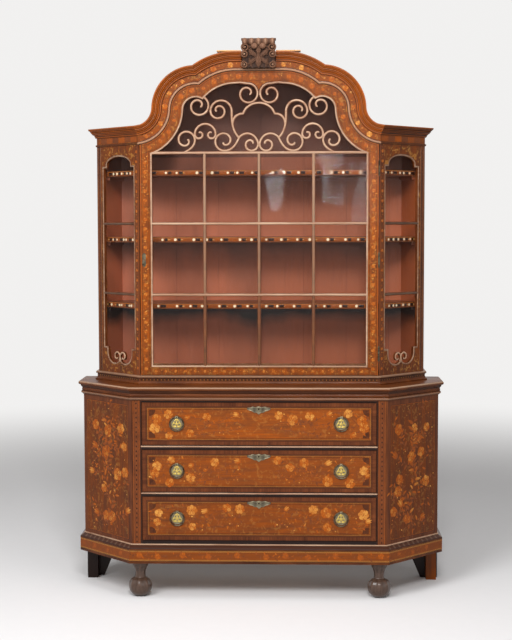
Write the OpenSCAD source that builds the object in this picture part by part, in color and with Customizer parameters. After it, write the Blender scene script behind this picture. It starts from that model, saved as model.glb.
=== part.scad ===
// China cabinet in two cases: a chest of three long drawers with canted corners, and a glazed
// display case with an arched door, canted glazed sides, an arched cornice and a carved crest.
// X is across the front, Y goes to the back and Z is up. The origin is the middle of the floor area.

/* [Both cases] */
// Depth from the front plane of the chest to the back
case_depth = 404; // [390:1:440]
// Thickness of the front stiles, canted walls and sides
wall_t = 24; // [18:1:28]
// Thickness of the back boards
back_t = 10; // [8:1:14]
// Play left round a part that slides, swings or lifts out
fit_gap = 0.3; // [0.2:0.1:0.6]

/* [Chest] */
// Half width of the straight front, out to its corner
chest_half_w = 530; // [500:1:570]
// Run of the canted corner, as wide as it is deep
chest_cant = 231; // [190:1:250]
// Width of a front stile
stile_w = 43; // [34:1:56]
// Height of the sill under the lowest drawer
sill_h = 19; // [14:1:30]
// Height of the rails between the drawers
rail_h = 16; // [12:1:22]
// Height of the head rail over the top drawer
head_h = 47; // [42:1:60]
// Depth of the rails, front to back
rail_d = 60; // [40:1:90]
// Thickness of the chest's top board
top_t = 16; // [12:1:24]
// Overhang of the top board's nosing
nosing_out = 22; // [16:1:30]
// Height of the moulding under the top board
waist_h = 41; // [30:1:41]
// Projection of the moulding under the top board
waist_out = 14; // [8:1:16]

/* [Plinth and feet] */
// Height of the plinth's underside above the floor
plinth_z = 152; // [120:1:190]
// Height of the plinth, its sloped top edge included
plinth_h = 74; // [60:1:90]
// Height of the plinth's sloped top edge
plinth_slope_h = 12; // [8:1:18]
// Projection of the plinth in front of the chest
plinth_out = 20; // [12:1:24]
// Width of the plinth's ledge behind the chest's front plane
plinth_in = 46; // [34:1:60]
// Radius of the ball of a front foot
ball_r = 49; // [40:1:56]
// Height of the ball of a front foot
ball_h = 84; // [70:1:96]
// Radius of the waist of a front foot
neck_r = 19; // [14:1:26]
// Radius of the flared top of a front foot
flare_r = 33; // [28:1:40]
// Distance of a front foot's axis from the front's corner
foot_in = 29; // [20:1:60]
// Distance of a front foot's axis behind the front plane
foot_y = 50; // [42:1:60]
// Distance of a back foot's outer edge inside the plinth's
back_foot_in = 6; // [2:1:12]
// Width of a back foot on the floor
back_foot_w = 74; // [56:1:90]
// Width that the back foot's bracket adds under the plinth
bracket_w = 64; // [40:1:90]
// Side of the corner blocks inside the plinth
block_w = 50; // [36:1:60]
// Thickness of the back foot's bracket
bracket_t = 28; // [20:1:36]
// Side of the square post in a back foot
post_w = 44; // [36:1:52]

/* [Drawers] */
// Height of the upper drawer's opening
upper_drawer_h = 182; // [150:1:200]
// Height of the middle drawer's opening
middle_drawer_h = 180; // [150:1:200]
// Height of the lower drawer's opening
lower_drawer_h = 187; // [150:1:200]
// Thickness of a drawer front
front_t = 22; // [18:1:26]
// Gap round a drawer front
front_gap = 2; // [1:0.5:3]
// Thickness of a drawer's sides and back
side_t = 12; // [9:1:15]
// Thickness of a drawer's bottom
bottom_t = 8; // [6:1:10]
// Room behind a drawer
drawer_back_gap = 32; // [20:1:60]
// Room over a drawer's sides
side_drop = 14; // [8:1:24]
// Height of a drawer's bottom above the lower edge of its sides
bottom_rise = 8; // [5:1:14]
// Width of a drawer runner
runner_w = 60; // [50:1:90]
// Height of the guide strip beside a drawer
guide_h = 24; // [16:1:40]

/* [Drawer brasses] */
// Distance of a ring pull from the end of the drawer front
pull_in = 145; // [110:1:200]
// Middle radius of a ring
ring_r = 29; // [24:1:34]
// Diameter of a ring's wire
ring_wire = 5; // [4:0.5:6]
// Radius of the round plate behind a ring
plate_r = 25; // [20:1:28]
// Thickness of the plates
plate_t = 2.5; // [2:0.5:3.5]
// Width of the eye that holds a ring
eye_w = 7; // [5:1:9]
// Size of the three-cornered boss inside a ring
boss_r = 22; // [16:1:24]
// Thickness of the boss
boss_t = 2; // [1:0.5:3]
// Length of a drawer's wing-shaped key plate
key_plate_l = 98; // [80:1:120]
// Height of the key plate's wings
key_plate_h = 22; // [18:1:30]
// Height of the lobe under the key plate
key_lobe_h = 14; // [8:1:18]
// Distance of a drawer's keyhole below the top of its front
key_drop = 28; // [24:1:34]
// Radius of the round part of a keyhole
keyhole_r = 3; // [2:0.5:4]
// Length of a keyhole's slot below its middle
keyhole_l = 9; // [6:1:10]
// Width of a drawer lock's case
lock_w = 64; // [50:1:76]
// Height of a drawer lock's case
lock_h = 46; // [42:1:52]
// Thickness of a drawer lock's case
lock_t = 11; // [9:1:13]
// Width of a lock's bolt
bolt_w = 22; // [16:1:28]
// Thickness of a lock's bolt
bolt_t = 5; // [4:0.5:6]
// Travel of a lock's bolt
bolt_throw = 8; // [5:1:10]

/* [Display case] */
// Distance of the display case's front plane behind the chest's
setback = 80; // [60:1:95]
// Half width of the straight front, out to its corner
upper_half_w = 500.5; // [499:0.5:530]
// Run of the canted side, as wide as it is deep
upper_cant = 201; // [180:1:205]
// Height of the moulded base
base_h = 38; // [30:1:50]
// Projection of the moulded base
base_out = 15; // [10:1:20]
// Width of the base's frame behind the front plane
base_in = 100; // [95:1:120]
// Height from the moulded base to the frieze
upper_h = 962; // [900:1:1040]
// Thickness of the bottom board
floor_t = 20; // [14:1:24]
// Height of the frieze
frieze_h = 37; // [28:1:46]
// Projection of the bead along the frieze's lower edge
astragal_out = 5; // [3:1:7]
// Height of the bead along the frieze's lower edge
astragal_h = 9; // [6:1:12]
// Height of the cornice
cornice_h = 38; // [30:1:46]
// Projection of the cornice
cornice_out = 35; // [26:1:42]
// Thickness of the roof boards
roof_t = 10; // [8:1:14]
// Height of the roof boards above the frieze's lower edge
roof_rise = 52; // [46:1:58]
// Distance of a lining's back end from the side of the display case
lining_in = 66.5; // [50:0.5:90]
// Thickness of the angled linings
lining_t = 8; // [6:1:10]

/* [Arch] */
// Distance of the hollow curve's centre outside the front's corner
cove_out = 15.5; // [12:0.5:22]
// Distance of the shoulder curve's centre from the front's corner
shoulder_in = 238.5; // [232:0.5:245]
// Height of the shoulder curve's centre above the frieze line
shoulder_rise = 141; // [136:1:146]
// Radius of the shoulder curve
shoulder_r = 104.5; // [100:0.5:108]
// Distance of the crown curve's centre from the front's corner
crown_in = 402.5; // [396:0.5:409]
// Height of the crown curve's centre above the frieze line
crown_rise = 76; // [70:1:82]
// Radius of the crown curve
crown_r = 225; // [220:1:230]
// Distance of the arch's start from the front corner
arch_inset = 10.5; // [8:0.5:14]

/* [Crest] */
// Half width of the carved crest
crest_half_w = 71; // [64:1:84]
// Height of the crest above the cornice
crest_over = 54; // [44:1:70]
// Projection of the crest in front of the frieze
crest_out = 45; // [43:1:52]
// Half length of the ledge under the crest
ledge_half_l = 172; // [150:1:190]
// Thickness of the ledge under the crest
ledge_t = 4; // [3:1:10]
// Radius of the roll across the top of the crest
roll_r = 15; // [12:1:18]

/* [Door] */
// Thickness of the door
door_t = 24; // [22:1:27]
// Gap round the door
door_gap = 2.5; // [2:0.5:4]
// Gap beside the door, for the hinge leaves
jamb_gap = 3; // [2.5:0.5:4]
// Distance of the door's edge inside the front's corner
door_in = 5.5; // [5:0.5:7]
// Width of the door's stiles
door_stile_w = 43; // [36:1:50]
// Width of the door's arched head, from the frieze line
door_head_w = 46; // [40:1:52]
// Height of the door's bottom rail
door_rail_h = 32; // [26:1:44]
// Depth of the door frame's face in front of the glass
rebate_d = 12; // [9:1:14]
// Width of the rebate that holds the glass
rebate_w = 8; // [6:1:10]
// Thickness of the glass
glass_t = 3; // [2:0.5:4]
// Width of the glazing bars
bar_w = 13; // [10:1:16]
// Thickness of the glazing bars in front of the glass
bar_t = 9; // [6:1:9]
// Thickness of the bars' tongues between the panes
tongue_w = 3; // [2:0.5:4]
// Width of the bead round the glazing
bead_w = 8; // [6:1:10]
// Width of the scrolls in the arch
scroll_w = 11; // [8:1:11]
// Height of the lower row of panes
low_pane_h = 304; // [280:1:320]
// Height of the middle row of panes
mid_pane_h = 296; // [270:1:310]
// Distance of the door lock above the door's lower edge
door_lock_z = 481; // [380:1:560]
// Height of the door lock's case
door_lock_h = 70; // [56:1:84]
// Width of the door lock's case
door_lock_w = 32; // [28:1:34]
// Length of a hinge
hinge_l = 62; // [50:1:80]
// Radius of a hinge's barrel
barrel_r = 4; // [3.5:0.5:5]
// Radius of a hinge's pin
pin_r = 2; // [1.5:0.5:2.5]
// Width of a hinge leaf
leaf_w = 20; // [16:1:24]
// Thickness of a hinge leaf
leaf_t = 1.3; // [1:0.1:1.4]

/* [Canted glazing] */
// Width of the stile beside the door
cant_front_stile = 27; // [26:1:40]
// Width of the reeded stile at the outer corner
cant_back_stile = 34; // [28:1:46]
// Height of the opening's sill above the base
cant_sill = 34; // [28:1:44]
// Distance of the opening's arched top below the frieze
cant_top = 38; // [32:1:56]
// Rise of the opening's arch
cant_arch_h = 41; // [34:1:60]
// Step at the foot of the opening's arch and over its lobes
cant_ear = 23; // [12:1:30]
// Height of the lobed foot of the opening
cant_foot_h = 67; // [62:1:90]
// Upright part between the opening's arch and the step
ear_drop = 5; // [2:1:14]
// Width of the rebate for the canted panes
cant_rebate_w = 5; // [3:0.5:6]

/* [Shelves] */
// Thickness of a shelf
shelf_t = 22; // [16:1:26]
// Distance of a shelf's front edge behind the display case's front
shelf_in = 52; // [44:1:80]
// Height of a shelf above the one below, top to top
shelf_pitch = 279; // [250:1:295]
// Side of the cleats under the shelves
cleat_w = 14; // [10:1:18]

/* [Hidden] */

// Half of the turn at each canted corner, which sets every mitre
mitre = tan(22.5);
front_y = -max(nosing_out, plinth_out);
mid_depth = (case_depth + front_y) / 2;
inner_back = case_depth - back_t;

// Levels of the chest
chest_z = plinth_z + plinth_h;
lower_z = chest_z + sill_h;
middle_z = lower_z + lower_drawer_h + rail_h;
upper_z = middle_z + middle_drawer_h + rail_h;
head_z = upper_z + upper_drawer_h;
top_z = head_z + head_h;
chest_top_z = top_z + top_t;
drawer_z = [lower_z, middle_z, upper_z];
drawer_h = [lower_drawer_h, middle_drawer_h, upper_drawer_h];
open_half_w = chest_half_w - stile_w;
foot_x = chest_half_w - foot_in;

// Levels of the display case
case_z = chest_top_z + base_h;
frieze_z = case_z + upper_h;
cornice_v = frieze_h + cornice_h;
shelf_z = [for (k = [1:3]) case_z + floor_t + k * shelf_pitch];

// Door sizes
door_y = setback;
door_half_w = upper_half_w - door_in;
jamb_x = door_half_w + jamb_gap;
door_z = case_z + door_gap;
glass_z = door_z + door_rail_h;
open_w = door_half_w - door_stile_w;
arch_start = upper_half_w - arch_inset;
low_bar_z = glass_z + low_pane_h;
mid_bar_z = low_bar_z + mid_pane_h;
glass_y = door_y + rebate_d + fit_gap;

// The hollow curve touches the shoulder curve, which fixes its radius
cove_x = upper_half_w + cove_out;
shoulder_x = upper_half_w - shoulder_in;
cove_r = (pow(cove_x - shoulder_x, 2) + pow(shoulder_rise, 2) - pow(shoulder_r, 2))
       / (2 * (shoulder_r + shoulder_rise));
cove_c = [-cove_x, frieze_z + cove_r];
shoulder_c = [-shoulder_x, frieze_z + shoulder_rise];
crown_c = [crown_in - upper_half_w, frieze_z + crown_rise];
join_a = atan2(shoulder_c[1] - cove_c[1], shoulder_c[0] - cove_c[0]);
transom_z = cove_c[1] - sqrt(pow(cove_r + door_head_w, 2) - pow(cove_x - open_w, 2));
crown_top_z = crown_c[1] + crown_r;

cove_steps = 9;
shoulder_steps = 10;
crown_steps = 8;

// Where the shoulder and crown curves meet when both are moved outwards by v
function cusp(v) =
  let (d = norm(crown_c - shoulder_c), e = (crown_c - shoulder_c) / d,
       a = (pow(shoulder_r + v, 2) - pow(crown_r + v, 2) + d * d) / (2 * d),
       h = sqrt(pow(shoulder_r + v, 2) - a * a))
  shoulder_c + a * e + h * [-e[1], e[0]];

function arc(c, r, from, to, steps) =
  [for (i = [0:steps]) let (a = from + (to - from) * i / steps) c + r * [cos(a), sin(a)]];

function tail(list) = [for (i = [1:len(list) - 1]) list[i]];
function reversed(list) = [for (i = [len(list) - 1:-1:0]) list[i]];
function flipped(list) = [for (p = reversed(list)) [-p[0], p[1]]];
function direction(p, c) = atan2(p[1] - c[1], p[0] - c[0]);

// Left half of the arch, moved outwards by v, from x = -start to the crown
function half_arch(v, start) =
  let (k = cusp(v), from = -acos((cove_x - start) / (cove_r - v)))
  concat(arc(cove_c, cove_r - v, from, join_a, cove_steps),
         tail(arc(shoulder_c, shoulder_r + v, join_a + 180, direction(k, shoulder_c), shoulder_steps)),
         tail(arc(crown_c, crown_r + v, direction(k, crown_c), 90, crown_steps)));
function arch(v, start) = let (h = half_arch(v, start)) concat(h, flipped(h));

// Plan of the right half of a canted case, moved outwards by out
function half_plan(half_w, cant, y0, out) = [
  [half_w + out * mitre, y0 - out],
  [half_w + cant + out, y0 + cant - out * mitre],
  [half_w + cant + out, case_depth]];
function plan(half_w, cant, y0, out) =
  let (h = half_plan(half_w, cant, y0, out)) concat(flipped(h), h);

function chest_plan(out) = plan(chest_half_w, chest_cant, 0, out);
function upper_plan(out) = plan(upper_half_w, upper_cant, setback, out);

module in_place() { translate([0, -mid_depth, 0]) children(); }
module both_sides() { children(); mirror([1, 0, 0]) children(); }
module upright(y, t) { translate([0, y + t, 0]) rotate([90, 0, 0]) linear_extrude(t) children(); }
module board(outline, z0, h) { translate([0, 0, z0]) linear_extrude(h) polygon(outline); }

// A closed skin through rings that have the same number of points; cross turns its quads' diagonals
module skin(rings, cross = false) {
  m = len(rings[0]);
  n = len(rings);
  polyhedron(
    [for (r = rings) for (p = r) p],
    concat(
      [[for (j = [m - 1:-1:0]) j]],
      [for (i = [0:n - 2]) for (j = [0:m - 1]) for (s = [0, 1])
        let (a = i * m + j, b = i * m + (j + 1) % m, c = a + m, d = b + m)
        cross ? (s == 0 ? [a, b, c] : [b, d, c]) : (s == 0 ? [a, d, c] : [a, b, d])],
      [[for (j = [0:m - 1]) (n - 1) * m + j]]));
}

// A moulding that follows a canted plan: each profile point is [out, up]
module plan_moulding(profile, half_w, cant, y0, z0) {
  plans = [for (p = profile) plan(half_w, cant, y0, p[0])];
  skin([for (k = [0:5]) [for (j = [0:len(profile) - 1])
    [plans[j][k][0], plans[j][k][1], z0 + profile[j][1]]]]);
}

// Rings of a moulding that follows the canted side and then the left half of the arch
function arch_rings(profile) =
  let (plans = [for (p = profile) upper_plan(p[0])],
       arches = [for (p = profile) half_arch(p[1], arch_start)])
  concat(
    [for (k = [0:2]) [for (j = [0:len(profile) - 1])
      [plans[j][k][0], plans[j][k][1], frieze_z + profile[j][1]]]],
    [for (k = [0:len(arches[0]) - 1]) [for (j = [0:len(profile) - 1])
      [arches[j][k][0], setback - profile[j][0], arches[j][k][1]]]]);

// Plinth and feet

module front_foot() {
  color("dimgray") translate([foot_x, foot_y, 0]) rotate_extrude($fn = 64) polygon(concat(
    [[0, 0]],
    [for (i = [0:14]) let (a = -78 + 142 * i / 14)
      [ball_r * cos(a), ball_h / 2 + ball_h / 2 * sin(a) / sin(78)]],
    [[neck_r + 4, ball_h - 2], [neck_r + 6, ball_h + 4], [neck_r + 4, ball_h + 10], [neck_r, ball_h + 14],
     [neck_r, ball_h + 26], [neck_r + 5, ball_h + 40], [flare_r - 5, plinth_z - 14],
     [flare_r, plinth_z - 8], [flare_r, plinth_z], [0, plinth_z]]));
}
module front_foot_left() { mirror([1, 0, 0]) front_foot(); }
module front_foot_right() { front_foot(); }

module back_foot(post_colour) {
  foot_out = chest_half_w + chest_cant + plinth_out - back_foot_in;
  color("black") upright(case_depth - bracket_t, bracket_t)
    polygon([[foot_out, 0], [foot_out, plinth_z], [foot_out - back_foot_w - bracket_w, plinth_z],
             [foot_out - back_foot_w, 0]]);
  color(post_colour)
    translate([foot_out - post_w - 8, case_depth - bracket_t - post_w, 0]) cube([post_w, post_w, plinth_z]);
}
module back_foot_left() { mirror([1, 0, 0]) back_foot("black"); }
module back_foot_right() { back_foot("peru"); }

module plinth() {
  profile = [[-plinth_in, 0], [plinth_out, 0], [plinth_out, plinth_h - plinth_slope_h],
             [plinth_out - 3, plinth_h - plinth_slope_h + 3], [3, plinth_h], [-plinth_in, plinth_h]];
  color("sienna") {
    plan_moulding(profile, chest_half_w, chest_cant, 0, plinth_z);
    both_sides() translate([chest_half_w - plinth_in * mitre - block_w, plinth_in, plinth_z])
      cube([block_w, block_w, plinth_h]);
  }
}

// Chest carcass

module chest_bottom() {
  inner = half_plan(chest_half_w, chest_cant, 0, -wall_t);
  half = [[open_half_w, rail_d], [inner[0][0], rail_d], [inner[0][0] + rail_d - inner[0][1], rail_d],
          inner[1], [inner[1][0], inner_back]];
  color("peru") board(concat(flipped(half), half), chest_z, sill_h);
}

module chest_side() {
  outer = half_plan(chest_half_w, chest_cant, 0, 0);
  inner = half_plan(chest_half_w, chest_cant, 0, -wall_t);
  color("sienna") board([outer[1], outer[2], inner[2], inner[1]], chest_z, top_z - chest_z);
}
module chest_side_left() { mirror([1, 0, 0]) chest_side(); }
module chest_side_right() { chest_side(); }

module canted_panel() {
  outer = half_plan(chest_half_w, chest_cant, 0, 0);
  inner = half_plan(chest_half_w, chest_cant, 0, -wall_t);
  color("chocolate") board([outer[0], outer[1], inner[1], inner[0]], chest_z, top_z - chest_z);
}
module canted_panel_left() { mirror([1, 0, 0]) canted_panel(); }
module canted_panel_right() { canted_panel(); }

module front_stiles() {
  outer = half_plan(chest_half_w, chest_cant, 0, 0)[0];
  inner = half_plan(chest_half_w, chest_cant, 0, -wall_t)[0];
  color("saddlebrown") both_sides()
    board([[open_half_w, 0], outer, inner, [open_half_w, wall_t]], chest_z, top_z - chest_z);
}

module chest_back() {
  half_w = chest_half_w + chest_cant - wall_t;
  color("tan") translate([-half_w, inner_back, chest_z]) cube([2 * half_w, back_t, top_z - chest_z]);
}

// A rail fits between the stiles and reaches behind them
module rail(z0, h) {
  translate([-open_half_w, 0, z0]) cube([2 * open_half_w, rail_d, h]);
}

module bolt_mortise(k) {
  translate([-bolt_w / 2 - 1, bolt_y - 1, drawer_z[k] + drawer_h[k] - 1])
    cube([bolt_w + 2, bolt_t + 2, bolt_throw + 2]);
}

module drawer_rails() {
  color("saddlebrown") difference() {
    union() {
      rail(chest_z, sill_h);
      rail(middle_z - rail_h, rail_h);
      rail(upper_z - rail_h, rail_h);
      rail(head_z, head_h);
    }
    for (k = [0:2]) bolt_mortise(k);
  }
}

module drawer_runners() {
  color("peru") both_sides() {
    for (z0 = [middle_z, upper_z]) {
      translate([open_half_w - runner_w / 2, rail_d, z0 - rail_h])
        cube([runner_w, inner_back - rail_d, rail_h]);
      translate([open_half_w, rail_d, z0]) cube([runner_w / 2, inner_back - rail_d, guide_h]);
    }
    translate([open_half_w, rail_d, lower_z]) cube([runner_w / 2, inner_back - rail_d, guide_h]);
  }
}

// Each layer of the top board is the chest's plan, moved in or out to round its edge
module chest_top() {
  r = top_t / 2;
  layers = [for (i = [0:6]) let (a = -90 + 180 * i / 6) [nosing_out - r + r * cos(a), r + r * sin(a)]];
  color("sienna") skin([for (l = reversed(layers)) [for (p = chest_plan(l[0])) [p[0], p[1], top_z + l[1]]]]);
}

module waist_moulding() {
  w = waist_out;
  profile = concat(
    [[0, -waist_h], [0.3 * w, -waist_h], [0.3 * w, -waist_h + 3]],
    [for (i = [0:4]) let (a = -90 + 90 * i / 4) [0.3 * w + 0.45 * w * cos(a), -waist_h + 14 + 11 * sin(a)]],
    [[0.5 * w, -waist_h + 17], [0.5 * w, -waist_h + 21]],
    [for (i = [1:4]) let (a = 90 * i / 4) [0.9 * w - 0.4 * w * cos(a), -waist_h + 21 + (waist_h - 23) * sin(a)]],
    [[w, -2], [w, 0], [0, 0]]);
  color("saddlebrown") plan_moulding(profile, chest_half_w, chest_cant, 0, top_z);
}

// Drawers

function front_top(k) = drawer_z[k] + drawer_h[k] - front_gap;
function lock_z(k) = front_top(k) - key_drop;
front_half_w = open_half_w - front_gap;
drawer_l = inner_back - front_t - drawer_back_gap;
pull_x = front_half_w - pull_in;
lock_y = front_t - lock_t;
bolt_y = lock_y + (lock_t - bolt_t) / 2;

module keyhole(z0) {
  translate([0, -5, z0]) rotate([-90, 0, 0]) cylinder(r = keyhole_r, h = front_t, $fn = 32);
  translate([-0.4 * keyhole_r, -5, z0 - keyhole_l]) cube([0.8 * keyhole_r, front_t, keyhole_l]);
}

module drawer_front(k) {
  z0 = drawer_z[k] + front_gap;
  color("chocolate") difference() {
    translate([-front_half_w, 0, z0]) cube([2 * front_half_w, front_t, front_top(k) - z0]);
    translate([-lock_w / 2 - fit_gap, lock_y - fit_gap, front_top(k) - lock_h])
      cube([lock_w + 2 * fit_gap, lock_t + 2, lock_h + 1]);
    keyhole(lock_z(k));
  }
}

module drawer_box(k) {
  z0 = drawer_z[k] + fit_gap;
  h = drawer_h[k] - side_drop;
  back_y = front_t + drawer_l - side_t;
  color("burlywood") {
    both_sides() difference() {
      translate([front_half_w - side_t, front_t, z0]) cube([side_t, drawer_l, h]);
      translate([front_half_w - side_t - 1, front_t - 1, z0 + bottom_rise])
        cube([side_t / 2 + 1, drawer_l + 2, bottom_t]);
    }
    translate([-front_half_w + side_t, back_y, z0 + bottom_rise + bottom_t])
      cube([2 * (front_half_w - side_t), side_t, h - bottom_rise - bottom_t]);
    translate([-front_half_w + side_t / 2, front_t, z0 + bottom_rise])
      cube([2 * (front_half_w - side_t / 2), drawer_l, bottom_t]);
  }
}

// The ring hangs in an eye whose hole lies across the drawer, on the plate's upper edge
eye_r = ring_wire / 2 + fit_gap;
ring_y = -plate_t - ring_wire / 2 - fit_gap;
function pull_z(k) = drawer_z[k] + drawer_h[k] / 2;

module ring_plate(k) {
  translate([pull_x, 0, pull_z(k)]) {
    rotate([90, 0, 0]) cylinder(r = plate_r, h = plate_t, $fn = 64);
    upright(-plate_t - boss_t, boss_t) polygon([for (i = [0:35]) let (a = 10 * i)
      boss_r * (0.86 + 0.14 * cos(3 * (a - 90))) * [cos(a), sin(a)]]);
    difference() {
      translate([-eye_w / 2, ring_y - eye_r - 1.5, plate_r - 5])
        cube([eye_w, -ring_y + eye_r + 1.5, ring_r - plate_r + eye_r + 7]);
      translate([-eye_w, ring_y, ring_r]) rotate([0, 90, 0])
        cylinder(r = eye_r + 0.5, h = 2 * eye_w, $fn = 32);
    }
  }
}

// Height of the key plate's wavy edge at the share u of its half length
function wing(u) = key_plate_h / 2 * (0.15 + 0.85 * pow(1 - u * u, 0.4) * (0.82 + 0.18 * cos(540 * u)));
module key_plate(k) {
  edge = [for (i = [0:32]) -1 + i / 16];
  difference() {
    upright(-plate_t, plate_t) translate([0, lock_z(k)]) polygon(concat(
      [for (u = edge) [u * key_plate_l / 2, wing(u)]],
      [for (u = reversed(edge)) [u * key_plate_l / 2, -wing(u) - key_lobe_h * max(0, 1 - 9 * u * u)]]));
    keyhole(lock_z(k));
  }
}

module drawer_brasses(k) {
  color("darkkhaki") {
    both_sides() ring_plate(k);
    key_plate(k);
  }
  color("gray") difference() {
    translate([-lock_w / 2, lock_y, front_top(k) - lock_h]) cube([lock_w, lock_t, lock_h]);
    translate([-bolt_w / 2 - fit_gap, bolt_y - fit_gap, front_top(k) - lock_h + 6])
      cube([bolt_w + 2 * fit_gap, bolt_t + 2 * fit_gap, lock_h]);
  }
}

module drawer_bolt(k) {
  bottom = front_top(k) - lock_h + 6 + fit_gap;
  color("goldenrod") translate([-bolt_w / 2, bolt_y, bottom])
    cube([bolt_w, bolt_t, front_top(k) - bottom - 0.5]);
}

module ring(k, side) {
  color("gold") translate([side * pull_x, ring_y, pull_z(k)]) rotate([90, 0, 0])
    rotate_extrude($fn = 64) translate([ring_r, 0]) circle(d = ring_wire, $fn = 24);
}

// Display case

module upper_base() {
  b = base_out;
  profile = [[-base_in, 0], [b, 0], [b, 6], [0.8 * b, 7.5], [0.6 * b, 10], [0.5 * b, 13], [0.5 * b, base_h - 11],
             [0.7 * b, base_h - 9], [0.8 * b, base_h - 6], [0.75 * b, base_h - 3], [0.5 * b, base_h],
             [-base_in, base_h]];
  color("saddlebrown") plan_moulding(profile, upper_half_w, upper_cant, setback, chest_top_z);
}

// Plan corners of the display case's walls, outside and inside
upper_out = half_plan(upper_half_w, upper_cant, setback, 0);
upper_in = half_plan(upper_half_w, upper_cant, setback, -wall_t);
lining_half_w = upper_in[2][0] - lining_in;
// Where the canted frame's inner face meets the plane of the jamb
jamb_y = upper_in[0][1] + jamb_x - upper_in[0][0];
// Where the lining starts, on the inner face of the canted frame's outer stile
lining_start = upper_in[1] - [1, 1] * (cant_back_stile + wall_t * mitre) / sqrt(2) * 0.5;
lining_dir = ([lining_half_w, inner_back] - lining_start) / norm([lining_half_w, inner_back] - lining_start);
lining_side = [lining_dir[1], -lining_dir[0]];

// Outline of the room inside the linings, drawn in by the gap, from y = front to the back
function room(front, gap) =
  let (start = upper_in[0] + [-gap, gap] * sqrt(0.5), end = [lining_half_w - gap, inner_back - gap],
       s = lining_start - lining_side * gap,
       half = [[start[0] + front - start[1], front], s, end])
  concat(flipped(half), half);

module upper_bottom() {
  color("peru") board(room(setback + door_t + 3, 0), case_z, floor_t);
}

module upper_side() {
  color("sienna") board([upper_out[1], upper_out[2], upper_in[2], upper_in[1]], case_z, upper_h);
}
module upper_side_left() { mirror([1, 0, 0]) upper_side(); }
module upper_side_right() { upper_side(); }

module corner_linings() {
  end = [lining_half_w, inner_back];
  reach = lining_t / max(lining_dir[1], 0.1);
  color("rosybrown") both_sides()
    board([lining_start, [lining_start[0] + reach, lining_start[1] + reach],
           [end[0] + reach, end[1]], end], case_z, upper_h);
}

module upper_back() {
  half_w = upper_half_w + upper_cant - wall_t;
  color("rosybrown") upright(inner_back, back_t) polygon(concat(
    [[-half_w, case_z], [-half_w, frieze_z + roof_rise], [-arch_start, frieze_z + roof_rise]],
    arch(roof_rise, arch_start),
    [[arch_start, frieze_z + roof_rise], [half_w, frieze_z + roof_rise], [half_w, case_z]]));
}

// The canted frame lies along its own axis s, from the front corner outwards
cant_l = upper_cant * sqrt(2);
cant_mid = (cant_front_stile + cant_l - cant_back_stile) / 2;
cant_half = (cant_l - cant_back_stile - cant_front_stile) / 2;
cant_low = case_z + cant_sill;
cant_high = frieze_z - cant_top;

module along_cant() {
  translate([upper_half_w, setback, 0]) rotate([0, 0, 45]) children();
}
module cant_upright(y, t) { along_cant() upright(y, t) children(); }

// An arched opening whose foot is two round lobes that meet in a cusp; inset draws it in all round
lobe_r = 0.6 * (cant_half - cant_ear);
lobe_x = cant_half - cant_ear - lobe_r;
function cant_half_opening(inset) =
  let (h = cant_half - inset, w = h - cant_ear, spring = cant_high - cant_arch_h,
       r = lobe_r - inset, foot = cant_low + cant_foot_h + inset, ear = spring - ear_drop - inset)
  concat(arc([-lobe_x, cant_low + lobe_r], r, 360 - acos(lobe_x / r), 180, 10),
         [[-w, foot], [-h, foot], [-h, ear], [-w, ear]],
         [for (i = [0:8]) let (a = 180 - 90 * i / 8) [w * cos(a), spring + (cant_arch_h - inset) * sin(a)]]);
function cant_opening(inset) =
  let (half = cant_half_opening(inset))
  [for (p = concat(half, tail(flipped(half)))) [cant_mid + p[0], p[1]]];

module canted_frame(mortise) {
  color("chocolate") difference() {
    board([upper_out[0], upper_out[1], upper_in[1],
           [jamb_x, jamb_y], [jamb_x, setback]], case_z, upper_h);
    cant_upright(-1, rebate_d + 1.01) polygon(cant_opening(0));
    cant_upright(rebate_d, wall_t) polygon(cant_opening(-cant_rebate_w));
    if (mortise)
      translate([jamb_x - 1, door_y + door_t / 2 - bolt_t / 2 - 1, door_z + door_lock_z - bolt_w / 2 - 1])
        cube([bolt_throw + 1, bolt_t + 2, bolt_w + 2]);
  }
}
module canted_frame_left() { mirror([1, 0, 0]) canted_frame(true); }
module canted_frame_right() { canted_frame(false); }

// Scrolls: a stroke is a band of even width along a line of points
function bezier(a, b, c, d, steps) = [for (i = [0:steps]) let (t = i / steps, u = 1 - t)
  u * u * u * a + 3 * u * u * t * b + 3 * u * t * t * c + t * t * t * d];
// A curl whose radius shrinks from r0 to r1 while it turns from one angle to the other
function curl(c, r0, r1, from, to) =
  let (steps = max(8, round(abs(to - from) / 20)))
  [for (i = [0:steps]) let (t = i / steps, a = from + (to - from) * t, r = r1 + (r0 - r1) * (1 - t * t))
    c + r * [cos(a), sin(a)]];
function side_line(line, w) = [for (i = [0:len(line) - 1])
  let (p = line[max(i - 1, 0)], q = line[min(i + 1, len(line) - 1)], d = (q - p) / norm(q - p))
  line[i] + w * [-d[1], d[0]]];
module stroke(line, w) { polygon(concat(side_line(line, w / 2), reversed(side_line(line, -w / 2)))); }

module canted_bars() {
  foot_curl = curl([20, 36], 20, 7, 225, -120);
  color("tan") both_sides() {
    cant_upright(rebate_d - bar_t, bar_t) translate([cant_mid, cant_low]) both_sides() stroke(foot_curl, bead_w);
    cant_upright(rebate_d - bar_t, bar_t) difference() {
      polygon(cant_opening(0));
      polygon(cant_opening(bead_w));
    }
    for (z0 = [low_bar_z, mid_bar_z])
      cant_upright(rebate_d - bar_t, bar_t)
        translate([cant_mid - cant_half + bead_w, z0 - bar_w / 2])
          square([2 * (cant_half - bead_w), bar_w]);
  }
}

module canted_glass() {
  color("lightcyan", 0.4) both_sides() cant_upright(rebate_d + fit_gap, glass_t)
    polygon(cant_opening(-cant_rebate_w + fit_gap));
}

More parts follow.
